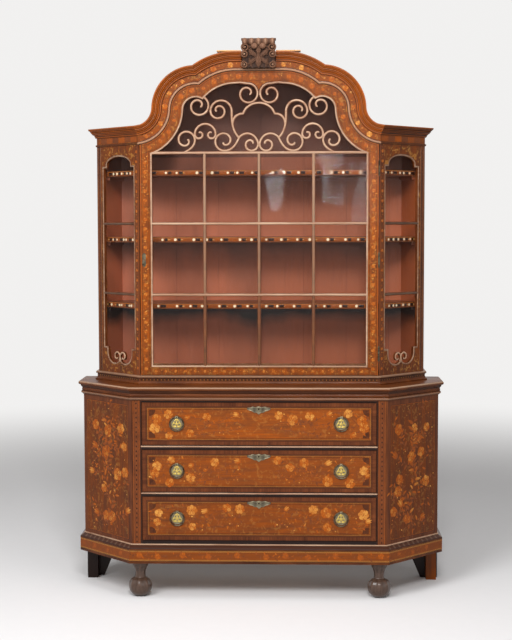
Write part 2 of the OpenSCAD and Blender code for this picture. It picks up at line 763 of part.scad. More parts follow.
module frieze() {
  profile = [[-wall_t, 0], [astragal_out * 0.7, 0], [astragal_out, astragal_h * 0.3],
             [astragal_out * 0.8, astragal_h * 0.8], [0, astragal_h], [0, frieze_h], [-wall_t, frieze_h]];
  left = arch_rings(profile);
  color("chocolate") skin(concat(left, [for (r = reversed(left)) [for (p = r) [-p[0], p[1], p[2]]]]));
}

// Steps of the cornice's section, as shares of its projection and its height
cornice_steps = [[0, 0], [0.1, 0], [0.18, 0.08], [0.2, 0.16], [0.3, 0.2], [0.46, 0.33], [0.55, 0.5], [0.66, 0.53],
                 [0.66, 0.61], [0.78, 0.65], [0.92, 0.78], [1, 0.84], [1, 1]];

module cornice() {
  profile = concat([[-wall_t, frieze_h]],
                   [for (s = cornice_steps) [s[0] * cornice_out, frieze_h + s[1] * cornice_h]],
                   [[-wall_t, cornice_v]]);
  rings = arch_rings(profile);
  last = [for (p = profile) [-crest_half_w, setback - p[0], crown_top_z + p[1]]];
  color("saddlebrown") both_sides() skin(concat(rings, [last]), cross = true);
}

module roof_boards() {
  under = arch(roof_rise, arch_start);
  over = arch(roof_rise + roof_t, arch_start);
  start = setback + wall_t;
  corner_y = start + max(0, arch_start - upper_in[0][0]);
  color("saddlebrown") {
    upright(start, case_depth - start) polygon(concat(under, reversed(over)));
    both_sides() board([[arch_start, corner_y], upper_in[1], upper_in[2], [arch_start, case_depth]],
                       frieze_z + roof_rise, roof_t);
  }
}

module crest() {
  base = crown_top_z + fit_gap;
  bead_top = crown_top_z + astragal_h + fit_gap;
  top = crown_top_z + cornice_v + crest_over;
  shelf = crown_top_z + cornice_v;
  front = setback - crest_out;
  color("dimgray") {
    translate([-crest_half_w, front + 9, base])
      cube([2 * crest_half_w, crest_out - 9 - astragal_out - fit_gap, bead_top - base]);
    translate([-crest_half_w, front + 9, bead_top]) cube([2 * crest_half_w, crest_out - 9, shelf - bead_top]);
    translate([-crest_half_w + 6, front + 9, shelf])
      cube([2 * (crest_half_w - 6), crest_out + wall_t - 9, crest_over - roll_r]);
    translate([-crest_half_w + 6, front + roll_r, top - roll_r]) rotate([0, 90, 0])
      cylinder(r = roll_r, h = 2 * (crest_half_w - 6), $fn = 48);
    translate([-crest_half_w + 6, front + roll_r, top - 2 * roll_r])
      cube([2 * (crest_half_w - 6), crest_out + wall_t - roll_r, 2 * roll_r - 4]);
    both_sides() {
      translate([crest_half_w - roll_r, front, top - roll_r - 3]) rotate([-90, 0, 0])
        cylinder(r = roll_r, h = crest_out, $fn = 48);
      translate([crest_half_w - 13, front + 3, base + 12]) rotate([-90, 0, 0])
        cylinder(r = 12, h = 12, $fn = 32);
    }
  }
}

module crest_ledge() {
  color("saddlebrown") both_sides()
    translate([crest_half_w, setback - cornice_out * 0.8, crown_top_z + cornice_v])
      cube([ledge_half_l - crest_half_w, cornice_out * 0.8 + wall_t, ledge_t]);
}

module shelves() {
  color("burlywood") for (z0 = shelf_z) board(room(setback + shelf_in, fit_gap), z0 - shelf_t, shelf_t);
}

shelf_cleat_half = lining_half_w - 3 * cleat_w;
module shelf_cleats() {
  front = lining_start + lining_dir * 6;
  back = [lining_half_w, inner_back] - lining_dir * 6;
  inwards = -cleat_w * lining_side;
  color("rosybrown") for (z0 = shelf_z) translate([0, 0, z0 - shelf_t - cleat_w]) {
    both_sides() board([front, back, back + inwards, front + inwards], 0, cleat_w);
    translate([-shelf_cleat_half, inner_back - cleat_w, 0]) cube([2 * shelf_cleat_half, cleat_w, cleat_w]);
  }
}

// Door

module door_outline() {
  polygon(concat([[-door_half_w, door_z], [-door_half_w, frieze_z - door_gap]],
                 arch(-door_gap, arch_start),
                 [[door_half_w, frieze_z - door_gap], [door_half_w, door_z]]));
}
module door_opening(grow) {
  polygon(concat([[-open_w - grow, glass_z - grow]],
                 arch(-door_head_w + grow, open_w + grow),
                 [[open_w + grow, glass_z - grow]]));
}

module door_frame() {
  color("chocolate") difference() {
    union() {
      upright(door_y, rebate_d) {
        difference() { door_outline(); door_opening(0); }
        head_point();
      }
      upright(door_y + rebate_d, door_t - rebate_d) difference() { door_outline(); door_opening(rebate_w); }
    }
    door_lock_space(fit_gap);
    translate([-door_lock_x, door_y - 1, door_z + door_lock_z]) rotate([-90, 0, 0])
      cylinder(r = keyhole_r, h = door_t, $fn = 32);
  }
}

door_lock_x = door_half_w - door_lock_w / 2;
door_lock_y = door_y + (door_t - lock_t) / 2;
module door_lock_space(gap) {
  translate([-door_half_w - 1, door_lock_y - gap, door_z + door_lock_z - door_lock_h / 2 - gap])
    cube([door_lock_w + 1 + gap, lock_t + 2 * gap, door_lock_h + 2 * gap]);
}

module door_lock() {
  z0 = door_z + door_lock_z;
  color("gray") difference() {
    translate([-door_half_w, door_lock_y, z0 - door_lock_h / 2]) cube([door_lock_w, lock_t, door_lock_h]);
    translate([-door_half_w - 1, door_y + door_t / 2 - bolt_t / 2 - fit_gap, z0 - bolt_w / 2 - fit_gap])
      cube([door_lock_w - 4, bolt_t + 2 * fit_gap, bolt_w + 2 * fit_gap]);
  }
  color("darkkhaki") translate([-door_lock_x, 0, 0]) difference() {
    upright(door_y - plate_t, plate_t) polygon([for (i = [0:23]) let (a = 15 * i)
      [8 * cos(a) * (1 - 0.25 * cos(4 * a)), z0 + 30 * sin(a)]]);
    translate([0, door_y - 9, z0]) rotate([-90, 0, 0]) cylinder(r = keyhole_r, h = 12, $fn = 32);
  }
}

module door_bolt() {
  color("goldenrod")
    translate([-door_half_w + 0.5, door_y + door_t / 2 - bolt_t / 2, door_z + door_lock_z - bolt_w / 2])
      cube([door_lock_w - 6, bolt_t, bolt_w]);
}

bar_y = door_y + rebate_d - bar_t;
bar_x = [-open_w / 2, 0, open_w / 2];
bar_z = [low_bar_z, mid_bar_z];

module door_bars() {
  top = transom_z + bar_w / 2;
  color("tan") {
    upright(bar_y, bar_t) difference() {
      intersection() {
        door_opening(0);
        translate([-open_w, glass_z]) square([2 * open_w, top - glass_z]);
      }
      for (i = [0:3]) for (j = [0:2]) pane(i, j, bar_w, bead_w);
    }
    upright(bar_y + bar_t, glass_t + 2) {
      for (x0 = bar_x) translate([x0 - tongue_w / 2, glass_z]) square([tongue_w, transom_z - glass_z]);
      for (z0 = concat(bar_z, [transom_z]))
        translate([-open_w, z0 - tongue_w / 2]) square([2 * open_w, tongue_w]);
    }
  }
}

// One pane of the door, between bars of the given width and with its outer edges drawn in by edge
module pane(i, j, width, edge) {
  xs = concat([-open_w], bar_x, [open_w]);
  zs = concat([glass_z], bar_z, [transom_z]);
  x0 = xs[i] + (i == 0 ? edge : width / 2);
  x1 = xs[i + 1] - (i == 3 ? edge : width / 2);
  z0 = zs[j] + (j == 0 ? edge : width / 2);
  z1 = zs[j + 1] - width / 2;
  translate([x0, z0]) square([x1 - x0, z1 - z0]);
}

module door_glass() {
  edge = -rebate_w + fit_gap;
  color("lightcyan", 0.4) upright(glass_y, glass_t) {
    for (i = [0:3]) for (j = [0:2]) pane(i, j, tongue_w + 2 * fit_gap, edge);
    difference() {
      door_opening(rebate_w - fit_gap);
      translate([-open_w - 50, glass_z - 50]) square([2 * open_w + 100, transom_z + tongue_w / 2 + fit_gap - glass_z + 50]);
    }
  }
}

// The scroll pattern is drawn on a grid with this many columns to the stile and rows up to the head
pattern_column_count = 452;
pattern_row_count = 291;
column = open_w / pattern_column_count;
row = (crown_top_z - door_head_w - transom_z) / pattern_row_count;
function fit_line(line) = [for (p = line) [p[0] * column, transom_z + p[1] * row]];
curl_c = [-46, 243];
curl_r = 42;

// The door's head comes down in a point between the two curls of the crown
module head_point() {
  room = scroll_w / 2 + fit_gap;
  last = acos((-curl_c[0] * column - 1) / (curl_r * column + room));
  side = side_line(fit_line(arc(curl_c, curl_r, 90, last, 8)), room);
  top = crown_top_z - door_head_w / 2;
  polygon(concat([[side[0][0], top]], side, flipped(side), [[-side[0][0], top]]));
}

crown_curl = concat([[-80, 290]], curl(curl_c, curl_r, 10, 95, -380));
shoulder_curl = curl([-249, 193], 42, 10, 100, -380);
upper_scroll = concat(reversed(curl([-168, 172], 32, 9, 180, 540)),
                      tail(arc([-156, 171], 44, 176, 4, 10)),
                      tail(bezier([-112, 171], [-113, 120], [-108, 88], [-82, 62], 8)));
cloud_top = arc([0, 132], 73, 142, 38, 12);
cloud_side = concat(arc([-70, 122], 38, 180, 84, 6), [[-57, 177]]);
heart_scroll = concat(bezier([-82, 62], [-64, 86], [-20, 88], [-4.7, 44.9], 8),
                      tail(curl([-32, 35], 29, 9, 20, -330)));
low_scroll = concat(bezier([-82, 62], [-94, 34], [-110, 9], [-142, 8], 7), tail(curl([-143, 47], 39, 9, -90, -480)));
bridge_scroll = concat(reversed(curl([-247, 76], 18, 8, 180, 440)), tail(arc([-222, 76], 43, 180, 0, 12)),
                       tail(curl([-197, 76], 18, 8, 0, -260)));
foot_scroll = concat(bezier([-305, 4], [-284, 14], [-266, 28], [-265, 52], 6), tail(curl([-302, 52], 37, 9, 0, 370)));

module below_transom() {
  translate([-open_w - 1, glass_z - 1]) square([2 * open_w + 2, transom_z + bar_w / 2 - glass_z + 1]);
}

module door_tracery() {
  color("tan") upright(bar_y, bar_t) {
    difference() {
      door_opening(0);
      door_opening(-bead_w);
      below_transom();
      head_point();
    }
    intersection() {
      union() {
        for (line = [crown_curl, shoulder_curl, upper_scroll, cloud_side, heart_scroll, low_scroll,
                     bridge_scroll, foot_scroll]) both_sides() stroke(fit_line(line), scroll_w);
        stroke(fit_line(cloud_top), scroll_w);
      }
      difference() {
        door_opening(-1);
        below_transom();
        head_point();
      }
    }
  }
}

// Hinges at the right-hand jamb: the barrel stands in front of the gap
hinge_x = door_half_w + jamb_gap / 2;
hinge_y = door_y - barrel_r - 0.5;
hinge_z = [door_z + 90, (door_z + frieze_z) / 2, frieze_z - 100];
knuckle = hinge_l / 5;

module barrel(z0, parts) {
  for (i = parts) translate([hinge_x, hinge_y, z0 - hinge_l / 2 + i * knuckle + fit_gap / 2])
    cylinder(r = barrel_r, h = knuckle - fit_gap, $fn = 32);
}

module door_hinge_leaves() {
  color("darkkhaki") for (z0 = hinge_z) difference() {
    union() {
      barrel(z0, [1, 3]);
      for (i = [1, 3]) translate([door_half_w, hinge_y, z0 - hinge_l / 2 + i * knuckle + fit_gap / 2])
        cube([leaf_t, leaf_w, knuckle - fit_gap]);
      translate([door_half_w, door_y, z0 - hinge_l / 2]) cube([leaf_t, leaf_w - barrel_r, hinge_l]);
    }
    translate([hinge_x, hinge_y, z0 - hinge_l]) cylinder(r = pin_r + fit_gap, h = 2 * hinge_l, $fn = 32);
  }
}

module case_hinge_leaves() {
  color("darkkhaki") for (z0 = hinge_z) {
    difference() {
      union() {
        barrel(z0, [0, 2, 4]);
        for (i = [0, 2, 4]) translate([jamb_x - leaf_t, hinge_y, z0 - hinge_l / 2 + i * knuckle + fit_gap / 2])
          cube([leaf_t, leaf_w, knuckle - fit_gap]);
        translate([jamb_x - leaf_t, door_y, z0 - hinge_l / 2]) cube([leaf_t, leaf_w - barrel_r, hinge_l]);
      }
      translate([hinge_x, hinge_y, z0 - hinge_l]) cylinder(r = pin_r, h = 2 * hinge_l, $fn = 32);
    }
    translate([hinge_x, hinge_y, z0 - hinge_l / 2]) cylinder(r = pin_r, h = hinge_l, $fn = 32);
  }
}

in_place() front_foot_left();
in_place() front_foot_right();
in_place() back_foot_left();
in_place() back_foot_right();
in_place() plinth();
in_place() chest_bottom();
in_place() chest_side_left();
in_place() chest_side_right();
in_place() canted_panel_left();
in_place() canted_panel_right();
in_place() front_stiles();
in_place() chest_back();
in_place() drawer_rails();
in_place() drawer_runners();
in_place() chest_top();
in_place() waist_moulding();
in_place() drawer_front(0);  // drawer_front_lower
in_place() drawer_front(1);  // drawer_front_middle
in_place() drawer_front(2);  // drawer_front_upper
in_place() drawer_box(0);  // drawer_box_lower
in_place() drawer_box(1);  // drawer_box_middle
in_place() drawer_box(2);  // drawer_box_upper
in_place() drawer_brasses(0);  // drawer_brasses_lower
in_place() drawer_brasses(1);  // drawer_brasses_middle
in_place() drawer_brasses(2);  // drawer_brasses_upper
in_place() drawer_bolt(0);  // drawer_bolt_lower
in_place() drawer_bolt(1);  // drawer_bolt_middle
in_place() drawer_bolt(2);  // drawer_bolt_upper
in_place() ring(0, -1);  // ring_lower_left
in_place() ring(0, 1);  // ring_lower_right
in_place() ring(1, -1);  // ring_middle_left
in_place() ring(1, 1);  // ring_middle_right
in_place() ring(2, -1);  // ring_upper_left
in_place() ring(2, 1);  // ring_upper_right
in_place() upper_base();
in_place() upper_bottom();
in_place() upper_side_left();
in_place() upper_side_right();
in_place() corner_linings();
in_place() upper_back();
in_place() canted_frame_left();
in_place() canted_frame_right();
in_place() canted_bars();
in_place() canted_glass();
in_place() frieze();
in_place() cornice();
in_place() roof_boards();
in_place() crest();
in_place() crest_ledge();
in_place() shelves();
in_place() shelf_cleats();
in_place() door_frame();
in_place() door_bars();
in_place() door_tracery();
in_place() door_glass();
in_place() door_lock();
in_place() door_bolt();
in_place() door_hinge_leaves();
in_place() case_hinge_leaves();
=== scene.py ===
"""China cabinet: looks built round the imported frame, in metres, in the frame's own axes.

Sizes inside the functions are in millimetres, with x across the front, y from the chest's front
plane to the back and z up from the floor; a mesh is turned into metres when it is made.
"""
import math
from functools import partialmethod

import bpy
import bmesh
import numpy as np
from mathutils import Matrix, Vector


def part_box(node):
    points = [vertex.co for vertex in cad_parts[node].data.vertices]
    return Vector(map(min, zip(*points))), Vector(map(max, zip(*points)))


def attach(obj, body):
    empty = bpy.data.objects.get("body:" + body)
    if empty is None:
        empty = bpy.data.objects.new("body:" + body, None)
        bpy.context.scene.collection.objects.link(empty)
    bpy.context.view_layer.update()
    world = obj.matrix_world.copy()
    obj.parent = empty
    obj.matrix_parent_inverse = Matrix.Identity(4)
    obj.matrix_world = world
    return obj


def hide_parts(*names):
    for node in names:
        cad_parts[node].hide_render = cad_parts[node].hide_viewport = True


bl_info = {
    "name": "China cabinet",
    "version": (1, 0, 0),
    "blender": (4, 5, 0),
    "location": "View3D > Sidebar > Cabinet",
    "description": "Dresses the cabinet's frame with veneers, inlays, mouldings, carving and brasses",
    "category": "Object",
}

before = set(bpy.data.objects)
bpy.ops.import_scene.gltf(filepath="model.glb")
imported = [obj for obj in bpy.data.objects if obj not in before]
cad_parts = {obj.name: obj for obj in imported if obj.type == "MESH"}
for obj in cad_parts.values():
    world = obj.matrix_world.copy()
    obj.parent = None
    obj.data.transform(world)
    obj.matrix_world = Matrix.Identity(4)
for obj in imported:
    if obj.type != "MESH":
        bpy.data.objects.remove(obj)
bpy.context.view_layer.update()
MM = 1000.0
LEVELS = ("lower", "middle", "upper")
SIDES = {"left": -1, "right": 1}
MID_Y = -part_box("drawer_front_lower")[0].y * MM
# From the door's edge to the display case's front corner
DOOR_MARGIN = 5.5
# Half the width of a glazing bar, width of the chest's front stiles, height of the moulding under its top
BAR_HALF = 6.5
STILE = 43.0
WAIST = 41.0
# Heights of the two lower glazing bars and of the shelves' tops
BAR_LEVELS = (1265.5, 1561.5)
SHELF_TOPS = (1226.0, 1505.0, 1784.0)
# Half the angle of a canted case's corners
HALF_CORNER = math.radians(22.5)


def span(node):
    """Lowest and highest corner of a node in millimetres, y counted from the chest's front plane."""
    low, high = (np.array(corner) * MM + (0, MID_Y, 0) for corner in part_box(node))
    return low, high


CHEST_HALF = span("front_stiles")[1][0]
CHEST_CANT = span("chest_side_right")[1][0] - CHEST_HALF
CHEST_Z, TOP_Z = span("canted_panel_left")[0][2], span("canted_panel_left")[1][2]
CHEST_TOP = span("chest_top")[1][2]
CASE_Z, FRIEZE_Z = span("upper_side_left")[0][2], span("upper_side_left")[1][2]
UPPER_Y = span("door_frame")[0][1]
DOOR_HALF = span("door_frame")[1][0]
UPPER_HALF = DOOR_HALF + DOOR_MARGIN
UPPER_CANT = span("upper_side_right")[1][0] - UPPER_HALF
BACK_Y = span("chest_back")[1][1]
PLINTH_Z = span("plinth")[0][2]
CANT_LENGTH = CHEST_CANT * math.sqrt(2)
UPPER_CANT_LENGTH = UPPER_CANT * math.sqrt(2)
GLASS_Z = span("door_bars")[0][2]
TRANSOM_Z = span("door_bars")[1][2] - BAR_HALF
OPEN_HALF = span("door_bars")[1][0]
BAR_FRONT = span("door_bars")[0][1]


def linear(red, green, blue):
    """A screen colour of 0 to 255 as linear light: its share of 255 raised to the power 2.2."""
    return tuple((c / 255.0) ** 2.2 for c in (red, green, blue))


BACKGROUND = (*linear(241, 240, 239), 1.0)


def length(name, millimetres, description):
    """A size for the panel, given in millimetres and kept in metres."""
    return bpy.props.FloatProperty(name=name, description=description, default=millimetres / MM,
                                   min=0.0, precision=5, unit="LENGTH")


def tint(name, screen, description):
    """A colour for the panel, given as on a screen and kept as linear light."""
    return bpy.props.FloatVectorProperty(name=name, description=description, default=linear(*screen),
                                         size=3, min=0.0, max=1.0, subtype="COLOR")


class CabinetSizes(bpy.types.PropertyGroup):
    cove_out: length("Hollow outside", 15.5,
                     "Hollow curve's centre outside the display case's front corner")
    shoulder_in: length("Shoulder inside", 238.5,
                        "Shoulder curve's centre inside the display case's front corner")
    shoulder_rise: length("Shoulder rise", 141, "Shoulder curve's centre above the frieze line")
    shoulder_r: length("Shoulder radius", 104.5, "Radius of the shoulder curve")
    crown_x: length("Crown centre", 98, "Crown curve's centre from the middle")
    crown_rise: length("Crown rise", 76, "Crown curve's centre above the frieze line")
    crown_r: length("Crown radius", 225, "Radius of the crown curve")
    arch_in: length("Arch inset", 10.5, "Start of the arch inside the front corner")
    frieze_h: length("Frieze height", 37, "Height of the frieze")
    cornice_h: length("Cornice height", 38, "Height of the cornice")
    cornice_out: length("Cornice projection", 35, "Projection of the cornice")
    door_head: length("Door head", 46, "Width of the door's arched head")
    bead: length("Bead", 7, "Width of the pale bead on the glazing bars and scrolls")
    bead_rise: length("Bead rise", 2.6, "Height of the pale bead above the bars")
    inlay_rise: length("Inlay rise", 0.22, "Height of the inlay's middle above the veneer")
    stem: length("Stem", 1.5, "Width of an inlaid stem")
    petal: length("Petal", 17, "Length of a petal of a middling flower")
    string: length("String", 1.4, "Width of an inlaid line")
    crossband: length("Crossband", 22, "Width of the crossbanding on the drawers")
    ring_x: length("Ring place", 340, "Ring pulls from the middle")


class CabinetColours(bpy.types.PropertyGroup):
    walnut: tint("Walnut", (112, 61, 28), "Polished walnut of stiles, plinth and sides")
    walnut_dark: tint("Dark walnut", (58, 28, 14), "Dark streaks and mouldings")
    field: tint("Field", (152, 74, 12), "Orange figured veneer of the drawers and the door")
    crossband: tint("Crossband", (112, 61, 32), "Crossbanding round the drawers")
    ebony: tint("Ebony", (34, 22, 18), "Black lines and dots")
    box: tint("Boxwood", (206, 148, 72), "Yellow wood of flowers and leaves")
    bone: tint("Bone", (236, 216, 180), "Palest wood and bone dots")
    rose: tint("Rose", (186, 155, 129), "Pale pink glazing beads")
    lining: tint("Lining", (192, 105, 70), "Painted lining of the display case")
    oak: tint("Oak", (176, 136, 92), "Oak of drawer sides and back boards")
    brass: tint("Brass", (184, 158, 80), "Bright brass")
    bronze: tint("Bronze", (118, 110, 90), "Darkened brass")
    steel: tint("Steel", (150, 146, 140), "Steel bolts")
    carving: tint("Carving", (124, 88, 68), "Carved crest")
    foot: tint("Foot", (106, 83, 70), "Turned front feet")
    floor: tint("Floor", (237, 236, 237), "Studio floor and backdrop")


def mm(name):
    """A size from the panel, in millimetres."""
    return getattr(bpy.context.scene.cabinet_sizes, name) * MM


def colour(name):
    """A colour from the panel as red, green, blue and opacity."""
    return (*getattr(bpy.context.scene.cabinet_colours, name), 1.0)


# Shader expressions


class Value:
    """A socket in a material; an expression on values adds its Math nodes."""

    def __init__(self, tree, socket):
        self.tree, self.socket = tree, socket

    def math(self, operation, *others):
        node = self.tree.nodes.new("ShaderNodeMath")
        node.operation = operation
        for slot, item in zip(node.inputs, (self, *others)):
            if isinstance(item, Value):
                self.tree.links.new(item.socket, slot)
            else:
                slot.default_value = item
        return Value(self.tree, node.outputs[0])

    __add__ = __radd__ = partialmethod(math, "ADD")
    __mul__ = __rmul__ = partialmethod(math, "MULTIPLY")
    __sub__ = partialmethod(math, "SUBTRACT")
    __truediv__ = partialmethod(math, "DIVIDE")
    __pow__ = partialmethod(math, "POWER")
    __mod__ = partialmethod(math, "FLOORED_MODULO")
    __lt__ = partialmethod(math, "LESS_THAN")
    __gt__ = partialmethod(math, "GREATER_THAN")
    __abs__ = partialmethod(math, "ABSOLUTE")
    least = partialmethod(math, "MINIMUM")
    most = partialmethod(math, "MAXIMUM")

    def __rsub__(self, other):
        return self * -1.0 + other

    def between(self, low, high):
        """1 where low < value < high, and 0 elsewhere."""
        return (self > low) * (self < high)

    def bounded(self):
        """The value, held between 0 and 1."""
        return self.most(0.0).least(1.0)


class Finish:
    """A material under construction, on object coordinates in millimetres."""

    def __init__(self, name, kind="materials"):
        self.material = getattr(bpy.data, kind).new(name)
        self.material.use_nodes = True
        self.tree = self.material.node_tree
        self.tree.nodes.clear()
        self.coordinates = self.add("ShaderNodeTexCoord", {}, {}, "Object")

    def add(self, kind, settings, sockets, output=0):
        """Adds a node: settings first, then each socket's value or link; gives one of its outputs."""
        node = self.tree.nodes.new(kind)
        for name, value in settings.items():
            if name == "stops":
                while len(node.color_ramp.elements) < len(value):
                    node.color_ramp.elements.new(0.5)
                for element, (position, tone) in zip(node.color_ramp.elements, value):
                    element.position, element.color = position, tone
            else:
                setattr(node, name, value)
        for name, value in sockets.items():
            if isinstance(value, Value):
                self.tree.links.new(value.socket, node.inputs[name])
            else:
                node.inputs[name].default_value = value
        return Value(self.tree, node.outputs[output]) if node.outputs else None

    def seen(self):
        """1 for a ray from the camera, a mirror or clear glass, 0 for one that only lights."""
        camera = self.add("ShaderNodeLightPath", {}, {}, "Is Camera Ray")
        glossy, through = (Value(self.tree, camera.socket.node.outputs[name])
                           for name in ("Is Glossy Ray", "Is Transmission Ray"))
        return (camera + glossy + through).least(1.0)

    def axes(self):
        """x, y and z of the point in millimetres, y from the chest's front plane."""
        x = self.add("ShaderNodeSeparateXYZ", {}, {"Vector": self.coordinates})
        y, z = (Value(self.tree, x.socket.node.outputs[i]) for i in (1, 2))
        return x * MM, y * MM + MID_Y, z * MM

    def tone(self):
        """The tone that the mesh carries at each point."""
        return self.add("ShaderNodeAttribute", {"attribute_name": "tone"}, {}, "Fac")

    def noise(self, cycles, detail, distortion=0.0):
        """Noise with so many cycles a metre, one number for all axes or one for each."""
        cycles = cycles if isinstance(cycles, tuple) else (cycles,) * 3
        place = self.add("ShaderNodeMapping", {}, {"Vector": self.coordinates, "Scale": cycles})
        return self.add("ShaderNodeTexNoise", {}, {"Vector": place, "Scale": 1.0, "Detail": detail,
                                                   "Distortion": distortion}, "Fac")

    def mix(self, factor, first, second):
        """First colour where the factor is 0, second where it is 1; a name is one of the panel's."""
        first, second = (colour(c) if isinstance(c, str) else c for c in (first, second))
        return self.add("ShaderNodeMix", {"data_type": "RGBA"}, {0: factor, 6: first, 7: second}, 2)

    def dimmed(self, base, share):
        """A colour times a share."""
        return self.add("ShaderNodeVectorMath", {"operation": "SCALE"}, {0: base, "Scale": share})

    def shade(self, base, factor, low):
        """A colour dimmed towards low times itself where the factor is 1."""
        return self.dimmed(base, factor * (low - 1.0) + 1.0)

    def wood(self, light, dark, grain="z", figure=9.0, strength=1.0):
        """Figured wood: noise stretched along the grain, plus broad curly noise, chooses between two
        tones."""
        self.fibre = self.noise(tuple(7.0 if axis == grain else 190.0 for axis in "xyz"), 4.0)
        self.cloud = self.noise(tuple(figure * (0.35 if axis == grain else 1.6) for axis in "xyz"), 5.0, 1.6)
        blend = (self.fibre - 0.5) * (1.5 * strength) + (self.cloud - 0.5) * (2.2 * strength) + 0.52
        return self.mix(blend.bounded(), dark, light)

    def mottled(self, base, strength):
        """Faint leafy blotches in the ground: a noise of 2 cm lightens it, one of 5 cm darkens it."""
        for cycles, detail, distortion, least, wood in ((46.0, 3.0, 1.4, 0.55, "box"),
                                                        (21.0, 2.0, 2.2, 0.56, "walnut_dark")):
            blotch = ((self.noise(cycles, detail, distortion) - least) * 9.0).bounded()
            base = self.mix(blotch * strength, base, wood)
        return base

    def done(self, base, rough, bump, depth, **constants):
        """Joins colour, roughness and a bump of that depth in metres to one shader; the constants are
        set on the shader itself."""
        normal = self.add("ShaderNodeBump", {}, {"Height": bump, "Distance": depth, "Strength": 1.0})
        sockets = {"Base Color": base, "Roughness": rough, "Normal": normal}
        sockets.update({name.replace("_", " "): value for name, value in constants.items()})
        shader = self.add("ShaderNodeBsdfPrincipled", {}, sockets)
        self.add("ShaderNodeOutputMaterial", {}, {"Surface": shader})
        return self.material


def polished(finish, base, coat=0.07):
    """Old polish: roughness rises and falls in soft patches, the pores show as a faint bump."""
    return finish.done(base, finish.noise(14.0, 2.0) * 0.16 + 0.3, finish.fibre, 0.00008,
                       Coat_Weight=coat, Coat_Roughness=0.12, Specular_IOR_Level=0.12)


def plain_wood(name, light, dark, grain="z", coat=0.12):
    """Figured wood in two tones under polish."""
    finish = Finish(name)
    return polished(finish, finish.wood(light, dark, grain), coat)


def mottled_veneer(name, dim):
    """Figured veneer with the leafy blotches of marquetry."""
    finish = Finish(name)
    base = finish.mottled(finish.wood("field", "walnut", figure=15.0), 0.3)
    return polished(finish, finish.dimmed(base, dim))


def banded_front(name, node, dim):
    """Drawer veneer by the distance d from the nearest edge: crossbanding, lines, a bright strip and the
    field, whose corners are cut by circles; within 4 mm of the edge it darkens, painted shade for the gap
    round the drawer."""
    low, high = span(node)
    finish = Finish(name)
    x, _, z = finish.axes()
    side = high[0] - abs(x)
    end = (high[2] - low[2]) / 2 - abs(z - (low[2] + high[2]) / 2)
    d = side.least(end)
    band = mm("crossband")
    inner, cut = band + 9.0, 25.0
    corner = ((side - inner) ** 2.0 + (end - inner) ** 2.0) ** 0.5
    upright = finish.wood("crossband", "walnut_dark", "z", strength=0.6)
    flat = finish.wood("crossband", "walnut_dark", "x", strength=0.6)
    ticks = ((x % 11.0) < 1.1) * (end < side)
    cross = finish.shade(finish.mix(end < side, flat, upright), ticks, 0.62)
    field = finish.mottled(finish.dimmed(finish.wood("field", "walnut", "x", 16.0, 0.8), dim), 0.14)
    base = finish.mix(d > band, cross, finish.shade(field, d < inner, 0.82))
    base = finish.mix(d.between(band - 5.0, band), base, finish.dimmed(flat, 0.8))
    base = finish.mix((corner < cut) * (d > inner), base, finish.dimmed(cross, 0.72))
    lines = d.between(band - 6.2, band - 5.0).most(d.between(band, band + 1.3))
    faint = d.between(inner - 1.3, inner).most(corner.between(cut - 1.0, cut + 0.6) * (d > inner))
    base = finish.mix(lines.most(faint * 0.6), base, "walnut_dark")
    base = finish.mix(d.between(band + 1.3, band + 2.5) * 0.4, base, "box")
    # Painted shade: the veneer darkens within 4 mm of each edge, for the shadow in the gap round the drawer.
    return polished(finish, finish.shade(base, 1.0 - (d / 4.0).least(1.0), 0.55))


def panel_front(name, half, cant, y0, z0, z1, dim, mottle):
    """Canted veneer: s runs along the cant, d is the distance from the nearest edge."""
    finish = Finish(name)
    x, y, z = finish.axes()
    s = (abs(x) - half + (y - y0)) * math.sqrt(0.5)
    d = s.least(cant * math.sqrt(2) - s).least((z - z0).least(z1 - z))
    band = 22.0
    field = finish.dimmed(finish.wood("field", "crossband", "z", 13.0, 1.1), dim)
    edge = finish.wood("crossband", "walnut_dark", "z", strength=0.7)
    base = finish.mix(d > band, edge, finish.mottled(field, mottle))
    base = finish.mix(d.between(band - 1.5, band), base, "ebony")
    return polished(finish, finish.mix(d.between(band, band + 1.2), base, "field"))


def plinth_front(name):
    """Plinth veneer: a walnut face with a bright band between lines, and a grey sloped top whose pale
    slanting strokes on the cants are painted highlights."""
    finish = Finish(name)
    x, _, z = finish.axes()
    up = z - PLINTH_Z
    # Heights on the plinth: the bright band, and the foot of the sloped top
    low, high, sloped = 14.0, 52.0, 63.0
    face = finish.wood("walnut", "walnut_dark", "x", strength=0.9)
    strip = finish.wood("field", "walnut", "x", 14.0, 0.6)
    base = finish.dimmed(finish.mix(up.between(low, high), face, strip), 0.74)
    for level in (low - 1.5, low + 2.0, high - 2.0, high + 1.5):
        base = finish.mix(up.between(level - 0.6, level + 0.6) * 0.6, base, "box")
    # Painted highlights: faint pale slanting strokes on the cants' sloped top.
    strokes = (((abs(x) + z * 0.8) % 21.0) < 7.0) * (abs(x) > CHEST_HALF + 10.0)
    slope = finish.mix(strokes * 0.1 + 0.02, "walnut_dark", "rose")
    base = finish.mix(up > sloped, base, slope)
    return polished(finish, finish.mix(up.between(sloped - 1.5, sloped + 0.5), base, "ebony"))


def boards(name, light, dark, width):
    """Boards beside each other: a dark seam at every multiple of the width, each board a little lighter
    or darker."""
    finish = Finish(name)
    x = finish.axes()[0]
    seam = abs((x % width) - width / 2) > width / 2 - 1.0
    step = finish.add("ShaderNodeTexWhiteNoise", {"noise_dimensions": "1D"},
                      {"W": (x / width).math("FLOOR")}, "Value")
    base = finish.shade(finish.wood(light, dark, "z", 6.0), step * 0.5, 0.6)
    return finish.done(finish.mix(seam * 0.85, base, "ebony"), finish.cloud * 0.2 + 0.5,
                       finish.fibre - seam * 2.0, 0.0004)


